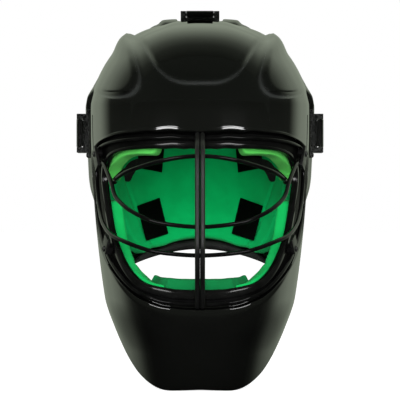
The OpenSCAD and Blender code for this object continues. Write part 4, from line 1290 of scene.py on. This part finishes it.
def crown_point(y):
    r = (y / rear_y) ** dome_power
    return np.array([0, y, temple_z + (crown_z - temple_z) * (1 - r) ** (1 / dome_lift)])


def side_point(y):
    r = (y / rear_reach(side_buckle_z)) ** plan_power
    return np.array([half_width(side_buckle_z) * (1 - r) ** (1 / plan_power), y, side_buckle_z])


top_lie = plate_gap + shell_t + strap_gap
lies = {"top": top_lie, "left": top_lie + plate_rise, "right": top_lie + plate_rise}


def strap_line(name):
    """The strap's middle line in its station: (y, z) pairs."""
    start = -buckle_l / 2 - plate_travel - 2
    straight = [[y, strap_z + strap_t / 2] for y in np.linspace(start, strap_straight, 7)]
    lying = []
    for y in strap_ends:
        p = crown_point(y) if name == "top" else side_point(y)
        p = p + (lies[name] + strap_t / 2) * outward(p)
        out = p[2] - crown_z if name == "top" else p[0] - shell_w / 2
        lying.append([p[1] - buckle_y, out - seat_gap])
    line = curve([[0, y, z] for y, z in straight + lying], 12)[:, 1:]
    run = np.concatenate([[0], np.cumsum(np.linalg.norm(np.diff(line, axis=0), axis=1))])
    return run, line


print("strap lengths:", {name: round(float(strap_line(name)[0][-1]), 1) for name in STATIONS}, "mm")

# %% Straps and rivets
for name in STATIONS:
    run, line = strap_line(name)
    tangent = unit(np.gradient(line, axis=0))
    bm = block(loops(14, 0.08), loops(150, 0.02), 3)
    u, v, s = drawn_in(np.array([p.co for p in bm.verts]), strap_w, run[-1], strap_t, 0.7)
    at = (v + 1) / 2 * run[-1]
    y, z = np.interp(at, run, line[:, 0]), np.interp(at, run, line[:, 1])
    ty, tz = np.interp(at, run, tangent[:, 0]), np.interp(at, run, tangent[:, 1])
    lift = (0.5 - s) * strap_t
    spot = np.stack([u * strap_w / 2, y - tz * lift, z + ty * lift], -1) * MM
    moved(bm, lambda _, spot=spot: spot)
    bmesh.ops.transform(bm, matrix=station(name), verts=bm.verts)
    piece = finished(f"webbing_{name}", bm, webbing, "back_plate", [f"strap_{name}"], "webbing")
    piece.visible_glossy = name == "top"
    measured(piece, at, u * strap_w / 2)
    for y, which in zip(rivet_y, ("front", "rear")):
        p = crown_point(y) if name == "top" else side_point(y) * [-1 if name == "left" else 1, 1, 1]
        up = outward(p)
        across = unit(np.cross([0, 1, 0], up))
        spot = Matrix.Translation(Vector(p + up * (lies[name] + strap_t + 0.1)) * MM)
        turn = Matrix((across, np.cross(up, across), up)).transposed().to_4x4()
        finished(f"rivet_head_{name}_{which}", copied(rivet, spot @ turn), steel, "back_plate",
            [f"strap_rivet_{name}_{which}"], "steel", sharp=35)

# %% [markdown]
# ## Cage clips
# Four moulded clips hold the cage in its step. Each is a short bar over the wire with a foot that the
# screw goes through, softened on every edge. All four could be made in place, but left and right are
# the same moulding, so one is made for each level and copied to both sides.

# %% Clips
clip_plate_t, clip_under, clip_seat, clip_w = 2.6, 5.0, 0.6, 10.0
clip_foot, clip_sink, clip_hole_r = (9.0, 6.0), 0.2, 1.6
clip_spots = {"upper": ((62.9, 66.0), 6.0, 16.0), "lower": ((48.2, 117.5), 3.0, 12.0)}
for level, (spot, reach_in, reach_out) in clip_spots.items():
    bar = (clip_w, reach_in + reach_out, clip_plate_t)
    foot = (*clip_foot, clip_under - clip_seat + clip_sink)
    boxes = [((0, (reach_out - reach_in) / 2, clip_under + clip_plate_t / 2), bar),
        ((0, 0, (clip_under + clip_seat) / 2), foot)]
    hole = ((0, 0, clip_under + 2), clip_hole_r, 9, "Z")
    clip = made_one("clip", boxes, [hole], bevel=0.9, segments=3)
    for side, name in SIDES:
        a, t = spot
        p = over_shell(from_front(np.array(a), np.array(side * t)), np.array(-step_depth))
        here = on_shell(from_front(wire_at(t), np.array(side * t)))
        further = on_shell(from_front(wire_at(t + 3), np.array(side * (t + 3))))
        up = outward(p)
        sideways = unit(np.cross(up, further - here))
        ahead = np.cross(sideways, up)
        turn = Matrix((ahead, sideways * (-1 if side > 0 else 1), up)).transposed().to_4x4()
        place = Matrix.Translation(Vector(p) * MM) @ turn
        finished(f"cage_clip_body_{level}_{name}", copied(clip, place), clip_plastic, "front_shell",
            [f"cage_clip_{level}_{name}"], "clip_plastic", sharp=40)
        top = place @ Matrix.Translation(Vector((0, 0, clip_under + clip_plate_t)) * MM)
        finished(f"clip_screw_head_{level}_{name}", copied(big_head, top), black_screw, "front_shell",
            [f"clip_screw_{level}_{name}"], "steel", sharp=35)

# %% [markdown]
# ## Camera, floor and light
# The photograph was taken level with the helmet's middle from well in front, so the camera has a long
# lens. The studio is dark in front of the helmet and white behind it: that is why the front of the
# shell stays black while its top and sides pick up a pale sheen. Two soft boxes high on both sides
# give the paired glints along the edges, and a broad fill from the front, hidden from glossy rays,
# lifts the foam. The flag is a dull cloth before the crown that only the shell's reflections see.

# %% Camera
camera_away, lens, sensor_w = 1.4, 130, 36
camera = linked("camera", bpy.data.cameras.new("camera"))
camera.location = (0, -camera_away, 0)
camera.rotation_euler = (math.pi / 2, 0, 0)
camera.data.lens, camera.data.sensor_width = lens, sensor_w
camera.data.clip_end = 20
bpy.context.scene.camera = camera
bpy.context.scene.view_settings.view_transform = "Standard"
print("camera:", camera_away, "m in front, lens", lens, "mm")

# %% Floor
floor_size, floor_gap = 6, 0.0005
bm = bmesh.new()
bmesh.ops.create_grid(bm, x_segments=1, y_segments=1, size=floor_size)
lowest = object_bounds()[0][2]
bmesh.ops.translate(bm, vec=(0, 0, lowest - floor_gap), verts=bm.verts)
floor = as_object("floor", bm)
floor.visible_glossy = False
floor_paint = bpy.data.materials.new("floor_paint")
floor_paint.use_nodes = True
tree = floor_paint.node_tree
shader = tree.nodes["Principled BSDF"]
shader.inputs["Roughness"].default_value = 0.9
shader.inputs["Specular IOR Level"].default_value = 0.1
shader.inputs["Emission Strength"].default_value = 1.0
tone = ranged(tree, noise(tree, object_place(tree), 30.0, 3), 0.3, 0.7)
tree.links.new(between(tree, tone, grey(0.78), grey(0.8)), shader.inputs["Base Color"])
path = add(tree, "ShaderNodeLightPath").outputs
lit = between(tree, seen_directly(tree, path), grey(0), grey(0.8))
tree.links.new(lit, shader.inputs["Emission Color"])
floor.data.materials.append(floor_paint)
print("floor at", round(lowest, 4), "m")

# %% A table of levels as nodes
def ramp(tree, value, stops, to=1.0):
    """A value looked up in stops of (place, level)."""
    node = add(tree, "ShaderNodeValToRGB", {"Fac": value})
    marks = node.color_ramp.elements
    marks[0].position, marks[1].position = stops[0][0], stops[-1][0]
    for mark, level in ((marks[0], stops[0][1]), (marks[1], stops[-1][1])):
        mark.color = (level, level, level, 1)
    for at, level in stops[1:-1]:
        marks.new(at).color = (level, level, level, 1)
    return times(tree, node.outputs["Color"], to)


print("ready:", ramp.__doc__)

# %% World
world = bpy.data.worlds.new("studio")
bpy.context.scene.world = world
world.use_nodes = True
world.cycles.sampling_method = "NONE"
tree = world.node_tree
tree.nodes.clear()
path = add(tree, "ShaderNodeLightPath").outputs
generated = add(tree, "ShaderNodeTexCoord").outputs["Generated"]
direction = add(tree, "ShaderNodeSeparateXYZ", {0: generated}).outputs
behind, above = (add(tree, "ShaderNodeMath", {0: direction[axis], 1: 0.5, 2: 0.5},
    operation="MULTIPLY_ADD").outputs[0] for axis in "YZ")
depth = ramp(tree, behind, [(0.0, 0.05), (0.2, 0.055), (0.33, 0.07), (0.455, 0.18), (0.54, 0.42),
    (0.63, 0.8), (0.71, 1.0), (0.785, 0.93), (0.855, 0.79), (0.91, 0.57), (0.953, 0.42),
    (0.983, 0.32), (1.0, 0.15)], 1.85)
height = ramp(tree, above, [(0.0, 0.03), (0.25, 0.06), (0.36, 0.25), (0.44, 0.62), (0.5, 0.68),
    (0.75, 0.76), (0.9, 1.0), (1.0, 1.0)])
low_band = ramp(tree, above, [(0.48, 0.0), (0.52, 1.0), (0.59, 1.0), (0.64, 0.0)])
early = maths(tree, "SUBTRACT", 1.0, ranged(tree, behind, 0.6, 0.84))
held_back = maths(tree, "SUBTRACT", 1.0, times(tree, low_band, early))
room = ramp(tree, above, [(0.0, 0.02), (0.44, 0.03), (0.5, 0.07), (0.56, 0.15), (1.0, 0.15)])
level = maths(tree, "MAXIMUM", room, times(tree, times(tree, depth, height), held_back))
mirrored = add(tree, "ShaderNodeMix", {0: level}, data_type="RGBA", clamp_factor=False)
mirrored.inputs[6].default_value = (0, 0, 0, 1)
mirrored.inputs[7].default_value = (0.9, 1.02, 0.8, 1)
fill = between(tree, above, grey(0.2), grey(0.3))
by_ray = add(tree, "ShaderNodeMix", {0: path["Is Glossy Ray"], 6: fill, 7: mirrored.outputs[2]},
    data_type="RGBA")
colour = add(tree, "ShaderNodeMix", {0: seen_directly(tree, path), 6: by_ray.outputs[2]},
    data_type="RGBA")
colour.inputs[7].default_value = (1, 1, 1, 1)
light = add(tree, "ShaderNodeBackground", {"Color": colour.outputs[2], "Strength": 1.0})
add(tree, "ShaderNodeOutputWorld", {"Surface": light.outputs[0]})
print("world:", len(tree.nodes), "nodes")

# %% Soft boxes and the flag
def soft_box(name, azimuth, elevation, away, size, watts):
    """A rectangular light that faces the head's centre from some metres away."""
    lamp = bpy.data.lights.new(name, "AREA")
    lamp.shape, lamp.size, lamp.size_y, lamp.energy = "RECTANGLE", *size, watts
    box = linked(name, lamp)
    azimuth, elevation = math.radians(azimuth), math.radians(elevation)
    box.location = Vector((math.sin(azimuth) * math.cos(elevation),
        -math.cos(azimuth) * math.cos(elevation), math.sin(elevation))) * away
    box.rotation_euler = box.location.to_track_quat("Z", "Y").to_euler()
    return box


for side, name in SIDES:
    soft_box(f"soft_box_{name}", side * 28, 20, 1.6, (0.62, 0.3), 11.0)
front_fill = soft_box("front_fill", 0, 3, 1.55, (0.8, 0.8), 34.0)
front_fill.visible_glossy = False

flag_half, flag_at = (0.3, 0.1, 1), (0, -0.17, 0.2)
bm = bmesh.new()
bmesh.ops.create_grid(bm, x_segments=1, y_segments=1, size=1)
bmesh.ops.scale(bm, vec=flag_half, verts=bm.verts)
bmesh.ops.rotate(bm, matrix=Matrix.Rotation(math.pi / 2, 3, "X"), verts=bm.verts)
bmesh.ops.translate(bm, vec=flag_at, verts=bm.verts)
flag = as_object("flag", bm)
flag.visible_camera = flag.visible_diffuse = flag.visible_transmission = False
flag_cloth = bpy.data.materials.new("flag_cloth")
flag_cloth.use_nodes = True
shader = flag_cloth.node_tree.nodes["Principled BSDF"]
shader.inputs["Base Color"].default_value = (0.01, 0.01, 0.01, 1)
shader.inputs["Roughness"].default_value = 1.0
shader.inputs["Emission Color"].default_value = (0.13, 0.15, 0.12, 1)
shader.inputs["Emission Strength"].default_value = 1.0
flag.data.materials.append(flag_cloth)
print("lights:", [light.name for light in bpy.data.lights], "flag:", flag.name)

# %% [markdown]
# ## Finish
